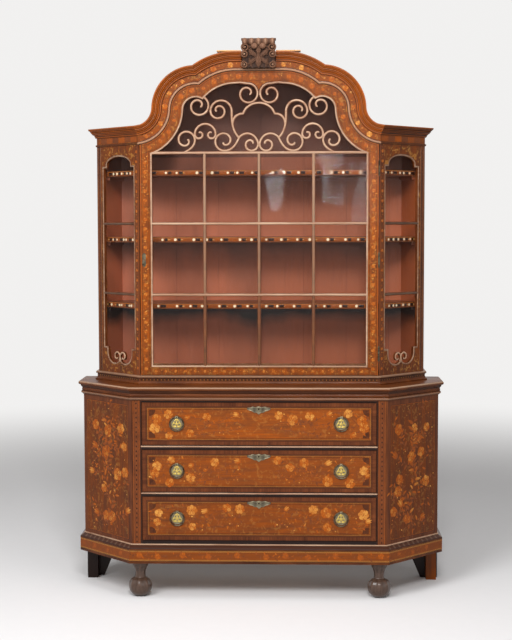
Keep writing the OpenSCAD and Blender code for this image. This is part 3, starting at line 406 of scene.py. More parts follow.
def inlay_woods(name):
    """Inlaid woods: the tone picks black, brown, red, orange, yellow or pale wood, with fine grain."""
    finish = Finish(name)
    finish.fibre = finish.noise((260.0, 260.0, 60.0), 3.0)
    pick = finish.tone() + (finish.fibre - 0.5) * 0.16 + (finish.noise(30.0, 2.0) - 0.5) * 0.16
    woods = ((0.0, "ebony"), (0.2, "walnut_dark"), (0.42, "crossband"), (0.6, "field"), (0.8, "box"),
             (1.0, "bone"))
    stops = [(place, colour(wood)) for place, wood in woods]
    base = finish.add("ShaderNodeValToRGB", {"stops": stops}, {"Fac": pick.bounded()}, "Color")
    return polished(finish, base)


def moulded_wood(name, light, dark, mottle=0.0):
    """Moulded wood: a tone under 0.5 darkens it towards black and one over 0.5 lightens it towards pale rose;
    on the waist, base, chest top and cornice this paints shade into hollows and highlights onto ridges, on
    beads and reeds it is their own colour.
    """
    finish = Finish(name)
    tone = finish.tone()
    base = finish.wood(light, dark, "x", strength=0.7)
    if mottle:
        base = finish.dimmed(finish.mottled(base, mottle), 0.76)
    base = finish.mix((0.5 - tone).bounded() * 1.7, base, "ebony")
    return polished(finish, finish.mix((tone - 0.5).bounded() * 1.1, base, "rose"))


def patched_foot(name):
    """The right back foot: its post is newer, orange wood, its bracket is black."""
    finish = Finish(name)
    y, bracket = finish.axes()[1], 28.5
    post = finish.dimmed(finish.wood("field", "walnut"), 0.7)
    return polished(finish, finish.mix(y > BACK_Y - bracket, post, "ebony"))


def lining_paint(name):
    """Painted boards: pink paint worn in patches and browner towards the right, faint upright board seams,
    and painted shade that is darkest under each shelf, in the arch and in the canted heads."""
    finish = Finish(name)
    x, y, z = finish.axes()
    wear = finish.noise((3.0, 3.0, 1.6), 4.0, 0.6)
    fine = finish.noise((90.0, 90.0, 14.0), 3.0)
    base = finish.mix((wear * 2.4 - 0.5).bounded() * 0.75 + 0.25, "crossband", "lining")
    base = finish.mix((fine - 0.35).bounded() * 0.5, base, "lining")
    tan = ((x + 350.0) * 0.0011).bounded() * ((wear - 0.3) * 2.6).bounded()
    base = finish.mix(tan * 0.75, base, "field")
    base = finish.mix(((fine - 0.5) * 5.0).bounded() * 0.16, base, "walnut_dark")
    width = 186.0
    seam = abs((x % width) - width / 2) > width / 2 - 0.7
    base = finish.shade(base, seam, 0.5)
    # Painted shade: the lining darkens towards black below each shelf, more in the lower tiers, for the
    # shelves' shadows.
    lower, middle, upper = (top - 20.0 for top in SHELF_TOPS)
    under = (lower - 2.0 - z) % (middle - lower)
    share = (z < lower) * 0.7 + (z < middle) * 0.22 + (z < upper) * 0.5
    painted_shade = (((under + (wear - 0.5) * 150.0) * -0.011 + 1.0).bounded() * share).least(0.97)
    # A floor of painted shade in the lowest tier, the top tier, the arch and the canted heads.
    arch_z, corners = upper + 86.0, (abs(x) > OPEN_HALF + 60.0) * (z > upper + 6.0)
    for where, least in ((z < lower, 0.14), (z > upper, 0.19), (z > arch_z, 0.66), (corners, 0.5)):
        painted_shade = painted_shade.most(where * least)
    base = finish.mix(painted_shade, base, "ebony")
    bare = finish.mix((wear * 1.6 - 0.3).bounded(), "walnut_dark", "crossband")
    base = finish.mix(y > span("upper_back")[1][1] - 1.0, base, finish.shade(bare, seam, 0.4))
    return finish.done(base, wear * 0.2 + 0.42, fine - seam, 0.0003)


def metal(name, bright, dull, rough):
    """Cast metal: bright where rubbed, dull in patches."""
    finish = Finish(name)
    patch = finish.noise(60.0, 4.0, 0.5)
    return finish.done(finish.mix((patch * 2.0 - 0.6).bounded(), dull, bright), patch * -0.2 + rough + 0.14,
                       finish.noise(400.0, 2.0) + patch, 0.0002, Metallic=0.9)


def worn_brass(name):
    """Aged brass: the tone runs from dark bronze to rubbed bright brass."""
    finish = Finish(name)
    patch = finish.noise(120.0, 4.0, 0.5)
    worn = (finish.tone() + (patch - 0.5) * 0.4).bounded()
    base = finish.mix((worn * 2.4).bounded(), "ebony", "bronze")
    return finish.done(finish.mix((worn * 2.0 - 0.9).bounded(), base, "brass"), patch * -0.2 + 0.5, patch,
                       0.0003, Metallic=0.7)


def pane_glass(name):
    """Thin old glass: mostly open, with a faint grey surface, so that the shelves show through."""
    finish = Finish(name)
    return finish.done((0.03, 0.035, 0.035, 1.0), 0.03, finish.noise((7.0, 7.0, 3.0), 1.0), 0.0018,
                       Alpha=0.06, Specular_IOR_Level=0.22)


def carved_wood(name, light, rough, coat):
    """Carved wood: the tone runs from black through the light wood to pale rose; on the crest and the feet it
    is painted shade in hollows and painted highlights on raised parts.
    """
    finish = Finish(name)
    grain = finish.noise((150.0, 150.0, 24.0), 4.0, 0.4)
    # The tone carries painted shade and highlight here, roughened by grain noise.
    worn = (finish.tone() + (grain - 0.5) * 0.5).bounded()
    base = finish.mix((worn - 0.72).bounded() * 1.6, finish.mix(worn, "ebony", light), "rose")
    return finish.done(base, grain * 0.2 + rough - 0.1, grain, 0.0003, Coat_Weight=coat,
                       Specular_IOR_Level=0.15)


FINISHES = {
    "walnut_upright": (plain_wood, "walnut", "walnut_dark"),
    "dark_across": (plain_wood, "crossband", "walnut_dark", "x"),
    "shelf_wood": (plain_wood, "walnut", "crossband", "x", 0.1),
    "oak_plain": (plain_wood, "oak", "walnut", "y", 0.0),
    "black_wood": (plain_wood, "ebony", "ebony", "z", 0.1),
    "bar_fillet": (plain_wood, "crossband", "walnut_dark"),
    "pale_ledge": (plain_wood, "rose", "box", "x"),
    "oak_boards": (boards, "oak", "walnut", 118.0),
    "back_boards": (boards, "crossband", "walnut_dark", 142.0),
    "patched_foot": (patched_foot,),
    "lining_paint": (lining_paint,),
    "door_veneer": (mottled_veneer, 0.78),
    "canted_veneer": (panel_front, CHEST_HALF, CHEST_CANT, 0.0, CHEST_Z, TOP_Z - WAIST, 0.46, 0.14),
    # Its ends lie past the frame's own, so that only the long edges are banded
    "canted_frame_veneer": (panel_front, UPPER_HALF, UPPER_CANT, UPPER_Y, CASE_Z - 60, FRIEZE_Z + 60,
                            0.5, 0.34),
    "plinth_veneer": (plinth_front,),
    "bead_wood": (moulded_wood, "rose", "crossband"),
    "frieze_veneer": (moulded_wood, "field", "walnut", 0.3),
    "moulded_walnut": (moulded_wood, "walnut", "walnut_dark"),
    "cornice_wood": (moulded_wood, "field", "walnut"),
    "inlay_woods": (inlay_woods,),
    "crest_wood": (carved_wood, "carving", 0.66, 0.0),
    "foot_wood": (carved_wood, "foot", 0.3, 0.4),
    "worn_brass": (worn_brass,),
    "ring_bronze": (metal, "bronze", "ebony", 0.36),
    "steel_finish": (metal, "steel", "bronze", 0.4),
    "pane_glass": (pane_glass,),
}
FINISHES.update({"drawer_veneer_" + level: (banded_front, "drawer_front_" + level, dim)
                 for level, dim in zip(LEVELS, (0.74, 0.8, 0.9))})


def finish_of(name):
    """The finish of that name, made once."""
    maker, *details = FINISHES[name]
    return bpy.data.materials.get(name) or maker(name, *details)


# Surfaces on grids of points


def placed(name, data):
    """A new object in the scene."""
    made = bpy.data.objects.new(name, data)
    bpy.context.scene.collection.objects.link(made)
    return made


def grid_points(x, y, z):
    """A grid of points from x, y and z, each spread to the shape of all three."""
    return np.stack(np.broadcast_arrays(x, y, z), -1)


def round_turn(count):
    """Evenly spaced angles of one full turn."""
    return np.linspace(0, 2 * math.pi, count, endpoint=False)


def plan(half, cant, y0, out):
    """x and y of a canted case's six corners, moved out by each value, from the back left to the back
    right."""
    mitre = out * math.tan(HALF_CORNER)
    x = np.stack([half + mitre, half + cant + out, half + cant + out])
    y = np.stack([y0 - out, y0 + cant - mitre, BACK_Y + 0 * out])
    return np.concatenate([-x[::-1], x]), np.concatenate([y[::-1], y])


def arc(centre, radius, first, last, steps):
    """Points of an arc: the centre plus the radius times cosine and sine of evenly spaced angles."""
    turn = first + (last - first) * np.linspace(0, 1, steps + 1)[:, None]
    return np.stack([centre[0] + radius * np.cos(turn), centre[1] + radius * np.sin(turn)], -1)


def bezier(a, b, c, d, steps=24):
    """A cubic through its end points a and d, pulled by b and c."""
    t = np.linspace(0, 1, steps)[:, None]
    a, b, c, d = (np.array(p, float) for p in (a, b, c, d))
    return (1 - t) ** 3 * a + 3 * (1 - t) ** 2 * t * b + 3 * (1 - t) * t ** 2 * c + t ** 3 * d


def curl(centre, r0, r1, first, last, steps=40):
    """A curl: its radius falls from r0 to r1 with one minus the square of the share of the turn."""
    t = np.linspace(0, 1, steps)
    turn, r = np.radians(first + (last - first) * t), r1 + (r0 - r1) * (1 - t ** 2)
    return np.stack([centre[0] + r * np.cos(turn), centre[1] + r * np.sin(turn)], -1)


def joined(*lines):
    """Lines end to end, without the point that they share."""
    return np.concatenate([lines[0]] + [line[1:] for line in lines[1:]])


def measured(line):
    """The length of a line, and a function that gives its point at any length from its start."""
    run = np.concatenate([[0], np.cumsum(np.linalg.norm(np.diff(line, axis=0), axis=1))])
    return run[-1], lambda k: np.array([np.interp(k, run, line[:, i]) for i in (0, 1)])


def toned(at, level, *humps):
    """A tone along a section: the level, plus for each hump its amount times e raised to minus the
    square of the distance from its place over its spread."""
    return sum((amount * np.exp(-((at - place) / spread) ** 2) for amount, place, spread in humps), level)


def arch(v, start, whole=True):
    """The arched line moved outwards by each v, as points by v by (x, z): a hollow arc that touches the
    shoulder arc, which meets the crown arc in a cusp; the right half mirrors the left."""
    v = np.atleast_1d(np.asarray(v, float))
    hollow_x, shoulder_x = UPPER_HALF + mm("cove_out"), UPPER_HALF - mm("shoulder_in")
    rise, r1, r2 = mm("shoulder_rise"), mm("shoulder_r"), mm("crown_r")
    r0 = ((hollow_x - shoulder_x) ** 2 + rise ** 2 - r1 ** 2) / (2 * (r1 + rise))
    c0 = np.array([-hollow_x, FRIEZE_Z + r0])
    c1 = np.array([-shoulder_x, FRIEZE_Z + rise])
    c2 = np.array([-mm("crown_x"), FRIEZE_Z + mm("crown_rise")])
    join = math.atan2(c1[1] - c0[1], c1[0] - c0[0])
    apart = np.hypot(*(c2 - c1))
    unit = (c2 - c1) / apart
    a = ((r1 + v) ** 2 - (r2 + v) ** 2 + apart ** 2) / (2 * apart)
    h = np.sqrt((r1 + v) ** 2 - a ** 2)
    cusp = c1 + a[:, None] * unit + h[:, None] * np.array([-unit[1], unit[0]])
    angle = lambda p, c: np.arctan2(p[:, 1] - c[1], p[:, 0] - c[0])
    first = -np.arccos((hollow_x - start) / (r0 - v))
    half = np.concatenate([arc(c0, r0 - v, first, join, 22),
                           arc(c1, r1 + v, join + math.pi, angle(cusp, c1), 26)[1:],
                           arc(c2, r2 + v, angle(cusp, c2), math.pi / 2, 24)[1:]])
    return np.concatenate([half, half[::-1] * (-1, 1)]) if whole else half


def moulded(*moves):
    """A moulding's section: each move is (out, up) or (out, up, bulge). A bulge bends the run into a
    curve: a quadratic through a middle point moved sideways by twice the bulge times the run's length."""
    points = [np.array(moves[0][:2], float)]
    for move in moves[1:]:
        a, b = points[-1], np.array(move[:2], float)
        if len(move) == 2:
            points.append(b)
            continue
        side = np.array([b[1] - a[1], a[0] - b[0]])
        middle = (a + b) / 2 + side * 2 * move[2]
        t = np.linspace(0, 1, 9)[1:, None]
        points.extend((1 - t) ** 2 * a + 2 * t * (1 - t) * middle + t ** 2 * b)
    return np.array(points)


def quad_faces(rows, columns, wrap):
    """Corner numbers of a grid's faces, row by row; wrap joins the last column to the first."""
    i, j = np.meshgrid(np.arange(rows - 1), np.arange(columns if wrap else columns - 1), indexing="ij")
    k = (j + 1) % columns
    return np.stack([i * columns + j, (i + 1) * columns + j, (i + 1) * columns + k, i * columns + k],
                    -1).reshape(-1, 4)


class Place:
    """A flat place for bars and inlays: s runs along it, t runs up, rise is measured outwards."""

    def __init__(self, x, y, direction=(1.0, 0.0)):
        self.origin = np.array([x, y, 0.0])
        self.along = np.array([*direction, 0.0]) / np.hypot(*direction)
        out = np.array([self.along[1], -self.along[0], 0.0])
        self.out = out if out[1] < 0 else -out
        self.flip = np.cross(self.along, (0, 0, 1)) @ self.out < 0

    def put(self, s, t, rise):
        """Origin plus s along, t up and rise outwards."""
        s, t, rise = np.broadcast_arrays(s, t, rise)
        return (self.origin + s[..., None] * self.along + t[..., None] * np.array([0, 0, 1.0])
                + rise[..., None] * self.out)


class Shape:
    """Grids of points gathered into one mesh, with a tone for each point."""

    def __init__(self):
        self.points, self.faces, self.tones, self.caps, self.count = [], [], [], [], 0

    def grid(self, points, tone=0.5, wrap=False, flip=False, caps=False):
        """Adds one grid of rows by columns, or a stack of such grids."""
        stack = points.reshape(-1, *points.shape[-3:])
        amount, rows, columns = stack.shape[:3]
        faces = quad_faces(rows, columns, wrap)
        if flip:
            faces = faces[:, ::-1]
        starts = self.count + np.arange(amount) * rows * columns
        self.faces.append((starts[:, None, None] + faces).reshape(-1, 4))
        self.points.append(stack.reshape(-1, 3))
        self.tones.append(np.broadcast_to(tone, points.shape[:-1]).reshape(-1))
        if caps:
            ring = np.arange(columns)
            for start in starts:
                self.caps.append((start + ring).tolist())
                self.caps.append((start + (rows - 1) * columns + ring[::-1]).tolist())
        self.count += amount * rows * columns
        return self

    def piece(self, name, body, slot, finish, replaces=(), sharp=32.0, closed=False):
        """Makes the object in metres, gives it its finish, hides the frame's pieces that it replaces and
        hangs it under its body's empty.
        """
        mesh = bpy.data.meshes.new(name)
        points = (np.concatenate(self.points) - (0, MID_Y, 0)) / MM
        mesh.from_pydata(points.tolist(), [], np.concatenate(self.faces).tolist() + self.caps)
        mesh.attributes.new("tone", "FLOAT", "POINT").data.foreach_set(
            "value", np.concatenate(self.tones).astype(np.float32))
        if closed:
            work = bmesh.new()
            work.from_mesh(mesh)
            bmesh.ops.remove_doubles(work, verts=work.verts, dist=1e-6)
            bmesh.ops.recalc_face_normals(work, faces=work.faces)
            work.to_mesh(mesh)
            work.free()
        mesh.polygons.foreach_set("use_smooth", np.ones(len(mesh.polygons), bool))
        mesh.set_sharp_from_angle(angle=math.radians(sharp))
        mesh.validate()
        mesh.materials.append(finish_of(finish))
        made = placed(name, mesh)
        if replaces:
            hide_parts(*replaces)
        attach(made, body)

    def moulding(self, section, half, cant, y0, z0, tone=0.5):
        """Carries a closed section round a canted case: each section point is [out, up]."""
        x, y = plan(half, cant, y0, section[:, 0])
        return self.grid(grid_points(x, y, z0 + section[:, 1]), tone, wrap=True, caps=True)

    def bar(self, place, line, section, tone=0.5, closed=False, base=0.0):
        """Carries a section [across, rise] along a line in a place. Across runs along the line's left
        normal, lengthened at a bend by one over the cosine of half the turn. Open ends shrink to a
        point over three more rings."""
        line = np.asarray(line, float)
        step = np.diff(np.concatenate([line, line[:1]]) if closed else line, axis=0)
        ahead = step / np.linalg.norm(step, axis=1)[:, None]
        normal = np.stack([-ahead[:, 1], ahead[:, 0]], -1)
        before = np.roll(normal, 1, 0) if closed else np.concatenate([normal[:1], normal])
        after = normal if closed else np.concatenate([normal, normal[-1:]])
        across = before + after
        across = across * (2.0 / np.maximum((across ** 2).sum(1), 1.2))[:, None]
        swell = np.ones(len(line) + closed)
        if closed:
            line, across = (np.concatenate([a, a[:1]]) for a in (line, across))
        else:
            turn = np.radians([88, 60, 30])
            reach = np.abs(section[:, 0]).max() * np.sin(turn)[:, None]
            line = np.concatenate([line[:1] - ahead[:1] * reach, line, line[-1:] + ahead[-1:] * reach[::-1]])
            across = np.concatenate([np.repeat(across[:1], 3, 0), across, np.repeat(across[-1:], 3, 0)])
            swell = np.concatenate([np.cos(turn), swell, np.cos(turn[::-1])])
        flat = line[:, None] + across[:, None] * (section[None, :, :1] * swell[:, None, None])
        rise = base + section[None, :, 1] * (0.25 + 0.75 * swell[:, None])
        return self.grid(place.put(flat[..., 0], flat[..., 1], rise), tone, flip=place.flip)

    def petals(self, place, s, t, angle, size, width, tone, sharpness=0.7, bend=0.0, steps=(9, 5)):
        """Petals or leaves as a stack of domes. Along u from 0 to 1 the half width is half the width times
        the sine of pi times u to a power; the rim dips under the veneer and the middle stands proud. The
        spine bends sideways by bend times u squared, and the tone darkens towards the foot."""
        s, t, angle, size, width, tone, bend = (
            np.atleast_1d(a).astype(float)[:, None, None]
            for a in np.broadcast_arrays(s, t, angle, size, width, tone, bend))
        u = np.linspace(0, 1, steps[0])[None, :, None]
        w = np.linspace(-1, 1, steps[1])[None, None, :]
        half = width / 2 * np.sin(math.pi * np.clip(u, 0.004, 0.996) ** sharpness) ** 0.75
        ahead, aside = u * size, w * half + bend * size * u ** 2
        rise = mm("inlay_rise") * (1.25 * (1 - w ** 2) ** 0.5 * np.minimum(1, 9 * u * (1 - u)) - 0.25)
        shade = tone * (1 - 0.22 * np.exp(-5 * u)) - 0.05 * np.abs(w) ** 3
        self.grid(place.put(s + ahead * np.cos(angle) - aside * np.sin(angle),
                            t + ahead * np.sin(angle) + aside * np.cos(angle), rise), shade, flip=place.flip)

    def discs(self, place, s, t, radius, tone, rise=1.0, sides=12):
        """Round dots as domes: rings of points about each centre, the rim under the veneer."""
        s, t, radius, tone = (np.atleast_1d(a).astype(float)[:, None, None]
                              for a in np.broadcast_arrays(s, t, radius, tone))
        ring = np.array([1.0, 0.8, 0.45, 0.03])[None, :, None]
        turn = round_turn(sides)
        height = mm("inlay_rise") * rise * (1.3 * np.sqrt(1.0001 - ring ** 2) - 0.3)
        self.grid(place.put(s + radius * ring * np.cos(turn), t + radius * ring * np.sin(turn), height),
                  tone, wrap=True, flip=not place.flip)

    def stem(self, place, line, width, tone):
        """An inlaid line: a flat bar whose rim dips under the veneer."""
        section = np.array([[0.5, -0.3], [0.28, 0.7], [0, 0.8], [-0.28, 0.7], [-0.5, -0.3]])
        self.bar(place, line, section * (width, mm("inlay_rise")), tone)

    def ribbon(self, place, edge, across, tone, rise=0.5):
        """A flat inlaid band between an edge and the same edge moved across."""
        edge = np.array(edge, float)[:, None]
        share = np.array([0.0, 0.04, 0.96, 1.0])[None, :, None]
        flat = (edge + across) * (1 - share) + edge * share
        height = mm("inlay_rise") * np.array([-0.3, rise, rise, -0.3])
        self.grid(place.put(flat[..., 0], flat[..., 1], height), tone, flip=place.flip)

    def flower(self, place, s, t, size, tone, petals=6, turn=0.3, centre=0.5):
        """A flower: a low disc, two rounds of petals and a centre dot."""
        self.discs(place, s, t, size * 0.7, tone * 0.93, 1.15, 14)
        for reach, back, shift in ((1.0, 0.94, 0.0), (0.6, 1.0, math.pi / petals)):
            angle = turn + shift + np.arange(petals) * 2 * math.pi / petals
            self.petals(place, s + 0.12 * size * np.cos(angle), t + 0.12 * size * np.sin(angle), angle,
                        size * reach, size * reach * 6.4 / petals,
                        tone * back * (1 + 0.06 * np.cos(angle * 2.0 + turn * 5)), 1.4)
        self.discs(place, s, t, size * 0.2, centre, 1.6)

    def tulip(self, place, s, t, size, tone, turn):
        """A cup flower: three pointed petals fanned about its direction."""
        self.petals(place, s, t, turn + np.radians([-24, 24, 0]), size * np.array([1.5, 1.5, 1.6]),
                    size * 0.62, tone * np.array([0.92, 0.92, 1.0]), 0.75, np.array([0.12, -0.12, 0.0]))

    def sprig(self, place, start, end, sway, rng, leaf=14.0, width=None, gap=17.0, tone=0.42):
        """A curling stem with leaves on alternate sides: a cubic from start to end whose two middle
        points are moved sideways by sway and by minus 0.6 of it, as shares of its length."""
        a, b = np.array(start, float), np.array(end, float)
        side = np.array([-(b - a)[1], (b - a)[0]])
        line = bezier(a, a + (b - a) * 0.35 + side * sway, a + (b - a) * 0.75 - side * sway * 0.6, b, 22)
        self.stem(place, line, width or mm("stem"), 0.36)
        count = int(np.linalg.norm(b - a) // gap)
        if count:
            k = np.linspace(0.12, 0.9, count)
            s, t = (np.interp(k, np.linspace(0, 1, 22), line[:, i]) for i in (0, 1))
            way = np.arctan2(*np.gradient(line, axis=0)[np.round(k * 21).astype(int)].T[::-1])
            hand = np.where(np.arange(count) % 2, 1, -1)
            size = leaf * rng.uniform(0.7, 1.2, count)
            self.petals(place, s, t, way + hand * rng.uniform(0.6, 1.1, count), size, size * 0.42,
                        tone + rng.uniform(-0.1, 0.14, count), 0.8, hand * 0.18)

    def climbing(self, place, s, up, size, lean, sway, leaf, turn, tone, rng):
        """Small flowers up a stile, each under a sprig that leans to one side and then to the other."""
        for index, t in enumerate(up):
            hand = (-1) ** index
            self.flower(place, s, t, size, 0.66, 5, turn * index)
            self.sprig(place, (s, t), (s + lean * hand, t + 26), sway * hand, rng, leaf, 1.0, 8.0, tone)


FRONT = Place(0, 0)
DOOR_FACE = Place(0, UPPER_Y)
CANTS = {name: Place(k * CHEST_HALF, 0, (k, 1)) for name, k in SIDES.items()}
UPPER_CANTS = {name: Place(k * UPPER_HALF, UPPER_Y, (k, 1)) for name, k in SIDES.items()}
ROUND = np.array([[1.0, 0.0], [0.97, 0.3], [0.8, 0.62], [0.45, 0.9], [0, 1.0], [-0.45, 0.9], [-0.8, 0.62],
                  [-0.97, 0.3], [-1.0, 0.0]])


def round_section(width, rise):
    """Half-round section of a bead: an ellipse of that width and rise."""
    return ROUND * (width / 2, rise)


class CABINET_OT_frame(bpy.types.Operator):
    """Give every piece carried over from the frame its wood, glass, brass or paint"""
    bl_idname = "cabinet.frame"
    bl_label = "Finish the frame's own pieces"

    def execute(self, context):
        dressed = {
            "walnut_upright": "front_stiles chest_side_left chest_side_right upper_side_left "
                              "upper_side_right",
            "canted_veneer": "canted_panel_left canted_panel_right",
            "canted_frame_veneer": "canted_frame_left canted_frame_right",
            "plinth_veneer": "plinth",
            "dark_across": "roof_boards",
            "moulded_walnut": "waist_moulding upper_base chest_top",
            "cornice_wood": "cornice",
            "pale_ledge": "crest_ledge",
            "door_veneer": "door_frame frieze",
            "crest_wood": "crest",
            "foot_wood": "front_foot_left front_foot_right",
            # The drawer rails are black as painted shade, for the gaps and the shadow under the rail beads;
            # the back left foot is black itself.
            "black_wood": "back_foot_left drawer_rails",
            "patched_foot": "back_foot_right",
            "oak_boards": "chest_bottom",
            "oak_plain": "drawer_runners upper_bottom",
            "back_boards": "chest_back",
            "lining_paint": "corner_linings upper_back shelf_cleats",
            "shelf_wood": "shelves",
            "bar_fillet": "canted_bars door_bars door_tracery",
            "pane_glass": "canted_glass door_glass",
            "ring_bronze": "door_lock door_hinge_leaves case_hinge_leaves",
            "steel_finish": "door_bolt",
        }
        made = {node: finish for finish, nodes in dressed.items() for node in nodes.split()}
        for level in LEVELS:
            for node, finish in (("front", "drawer_veneer_" + level), ("box", "oak_plain"),
                                 ("bolt", "steel_finish"), ("brasses", "worn_brass")):
                made["drawer_%s_%s" % (node, level)] = finish
            for side in SIDES:
                made["ring_%s_%s" % (level, side)] = "ring_bronze"
        for node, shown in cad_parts.items():
            shown.data.materials.clear()
            shown.data.materials.append(finish_of(made[node]))
        return {"FINISHED"}


class CABINET_OT_mouldings(bpy.types.Operator):
    """Run the smooth mouldings round the chest and the display case"""
    bl_idname = "cabinet.mouldings"
    bl_label = "Mouldings"

    def execute(self, context):
        waist = moulded((-2, -WAIST), (4, -WAIST), (4, -38), (10.5, -30, 0.22), (4.6, -26.5, 0.3), (7, -24),
                        (7, -20), (8, -19), (9.2, -9, -0.25), (12.6, -3.5), (12.6, -0.5), (-2, -0.5))
        # Painted shade and highlight: the tone darkens under the nosing and in the recess 25 mm down, and
        # lightens the bead 33 mm down.
        depth = toned(waist[:, 1], 0.52, (-0.46, -7, 7), (-0.2, -25, 2.5), (0.3, -33, 3))
        Shape().moulding(waist, CHEST_HALF, CHEST_CANT, 0.0, TOP_Z, depth).piece(
            "waist_run", "root", "moulding", "moulded_walnut", ["waist_moulding"], closed=True)
        turn = np.linspace(-90, 90, 13)
        radius, out = 8, 22
        x, y = plan(CHEST_HALF, CHEST_CANT, 0.0, out - radius + radius * np.cos(np.radians(turn)))
        up = TOP_Z + radius + radius * np.sin(np.radians(turn))
        # Painted highlight: the tone lightens the upper front of the rounded nosing.
        light = toned(turn, 0.5, (0.6, 40, 24))
        Shape().grid(grid_points(x, y, up).transpose(1, 0, 2), light[:, None], wrap=True, caps=True).piece(
            "chest_top_board", "root", "walnut", "moulded_walnut", ["chest_top"], closed=True)
        base = moulded((-100, 0), (15, 0), (15, 5), (14.4, 7, 0.2), (8.2, 11.5, -0.22), (7.2, 13),
                       (7.2, 14.2), (6.2, 14.8), (6.2, 26.2), (7.2, 27), (10, 28.4), (12, 32, 0.3),
                       (11, 36, 0.3), (7, 38), (-100, 38))
        up = base[:, 1]
        # Painted highlight along the top of the base and painted shade in the crease 27.5 mm up; the band
        # from 13.5 to 27.5 mm up is a touch lighter.
        tone = 0.5 + 0.02 * (np.abs(up - 20.5) < 7) + 0.3 * (up > 31) - 0.3 * (np.abs(up - 27.5) < 1)
        Shape().moulding(base, UPPER_HALF, UPPER_CANT, UPPER_Y, CHEST_TOP, tone).piece(
            "display_base_run", "root", "moulding", "moulded_walnut", ["upper_base"], closed=True)
        return {"FINISHED"}


def arched_rings(section):
    """Rings of a moulding that follows the left cant and then the left half of the arch: out moves a ring
    forwards, up moves it outwards across the arch. One more ring stands just before the mitre, so that
    a tone can end there."""
    out, up = section.T
    x, y = plan(UPPER_HALF, UPPER_CANT, UPPER_Y, out)
    canted = grid_points(x[:3], y[:3], FRIEZE_Z + up)
    canted = np.insert(canted, 2, canted[1] + (canted[2] - canted[1]) * 0.99, axis=0)
    line = arch(up, UPPER_HALF - mm("arch_in"), whole=False)
    return np.concatenate([canted, grid_points(line[..., 0], UPPER_Y - out, line[..., 1])])


class CABINET_OT_cornice(bpy.types.Operator):
    """Carry the frieze and the cornice over the canted sides and the arch"""
    bl_idname = "cabinet.cornice"
    bl_label = "Frieze and cornice"

    def execute(self, context):
        high, out, over = mm("frieze_h"), mm("cornice_out"), mm("cornice_h")
        frieze = moulded((-24, 0), (2.6, 0), (4.9, 3.8, 0.22), (3.6, 7.6, 0.26), (1.2, 7.8), (1.0, 9.0),
                         (0, 9.2), (0, high), (-24, high))
        front, up = frieze.T
        bead = np.where((up < 8) & (front > 2.4), 0.9, 0.5)
        bead = np.where((up > 7.7) & (up < 9.1), 0.12, bead)
        left = arched_rings(frieze)
        tone = np.tile(bead, (len(left), 1))
        tone[:3] = np.where(bead > 0.8, 0.14, bead - 0.06)
        Shape().grid(np.concatenate([left, left[::-1] * (-1, 1, 1)]), np.concatenate([tone, tone[::-1]]),
                     wrap=True, caps=True).piece(
            "frieze_run", "root", "marquetry", "frieze_veneer", ["frieze"], closed=True)
        share = moulded((0.02, 0), (0.12, 0.0), (0.2, 0.1, 0.3), (0.2, 0.16), (0.28, 0.18),
                        (0.48, 0.36, -0.24), (0.55, 0.44, 0.25), (0.55, 0.49), (0.64, 0.5), (0.68, 0.58, 0.3),
                        (0.66, 0.62), (0.78, 0.66), (0.93, 0.8, -0.2), (0.97, 0.86, 0.25), (1, 0.88), (1, 1))
        section = np.concatenate([[[-24, high]], np.stack([share[:, 0] * out, high + share[:, 1] * over], -1),
                                  [[-24, high + over]]])
        narrow, wide = math.sqrt(0.0006), 0.04
        # Painted shade and highlights: the tone darkens three narrow grooves and lightens the top edge and
        # two fillets.
        painted_light_tone = toned((section[:, 1] - high) / over, 0.5, (-0.5, 0.165, narrow), (-0.5, 0.475, narrow),
                       (-0.45, 0.64, narrow), (0.34, 0.97, wide), (0.12, 0.56, math.sqrt(0.0008)),
                       (0.12, 0.1, math.sqrt(0.001)))
        rings = arched_rings(section)
        last = rings[-1:].copy()
        last[..., 0] = -span("crest")[1][0]
        rings = np.concatenate([rings, last])
        shape = Shape()
        # Painted shade on the side and canted runs: away from the highlights they darken by 0.12 on the left
        # and 0.32 on the right, where less light falls.
        for way, darker in ((1, 0.12), (-1, 0.32)):
            tone = np.tile(painted_light_tone, (len(rings), 1))
            tone[:3] -= darker * (painted_light_tone < 0.62)
            shape.grid(rings * (way, 1, 1), tone, wrap=True, caps=True)
        shape.piece("cornice_run", "root", "moulding", "cornice_wood", ["cornice"], closed=True)
        return {"FINISHED"}


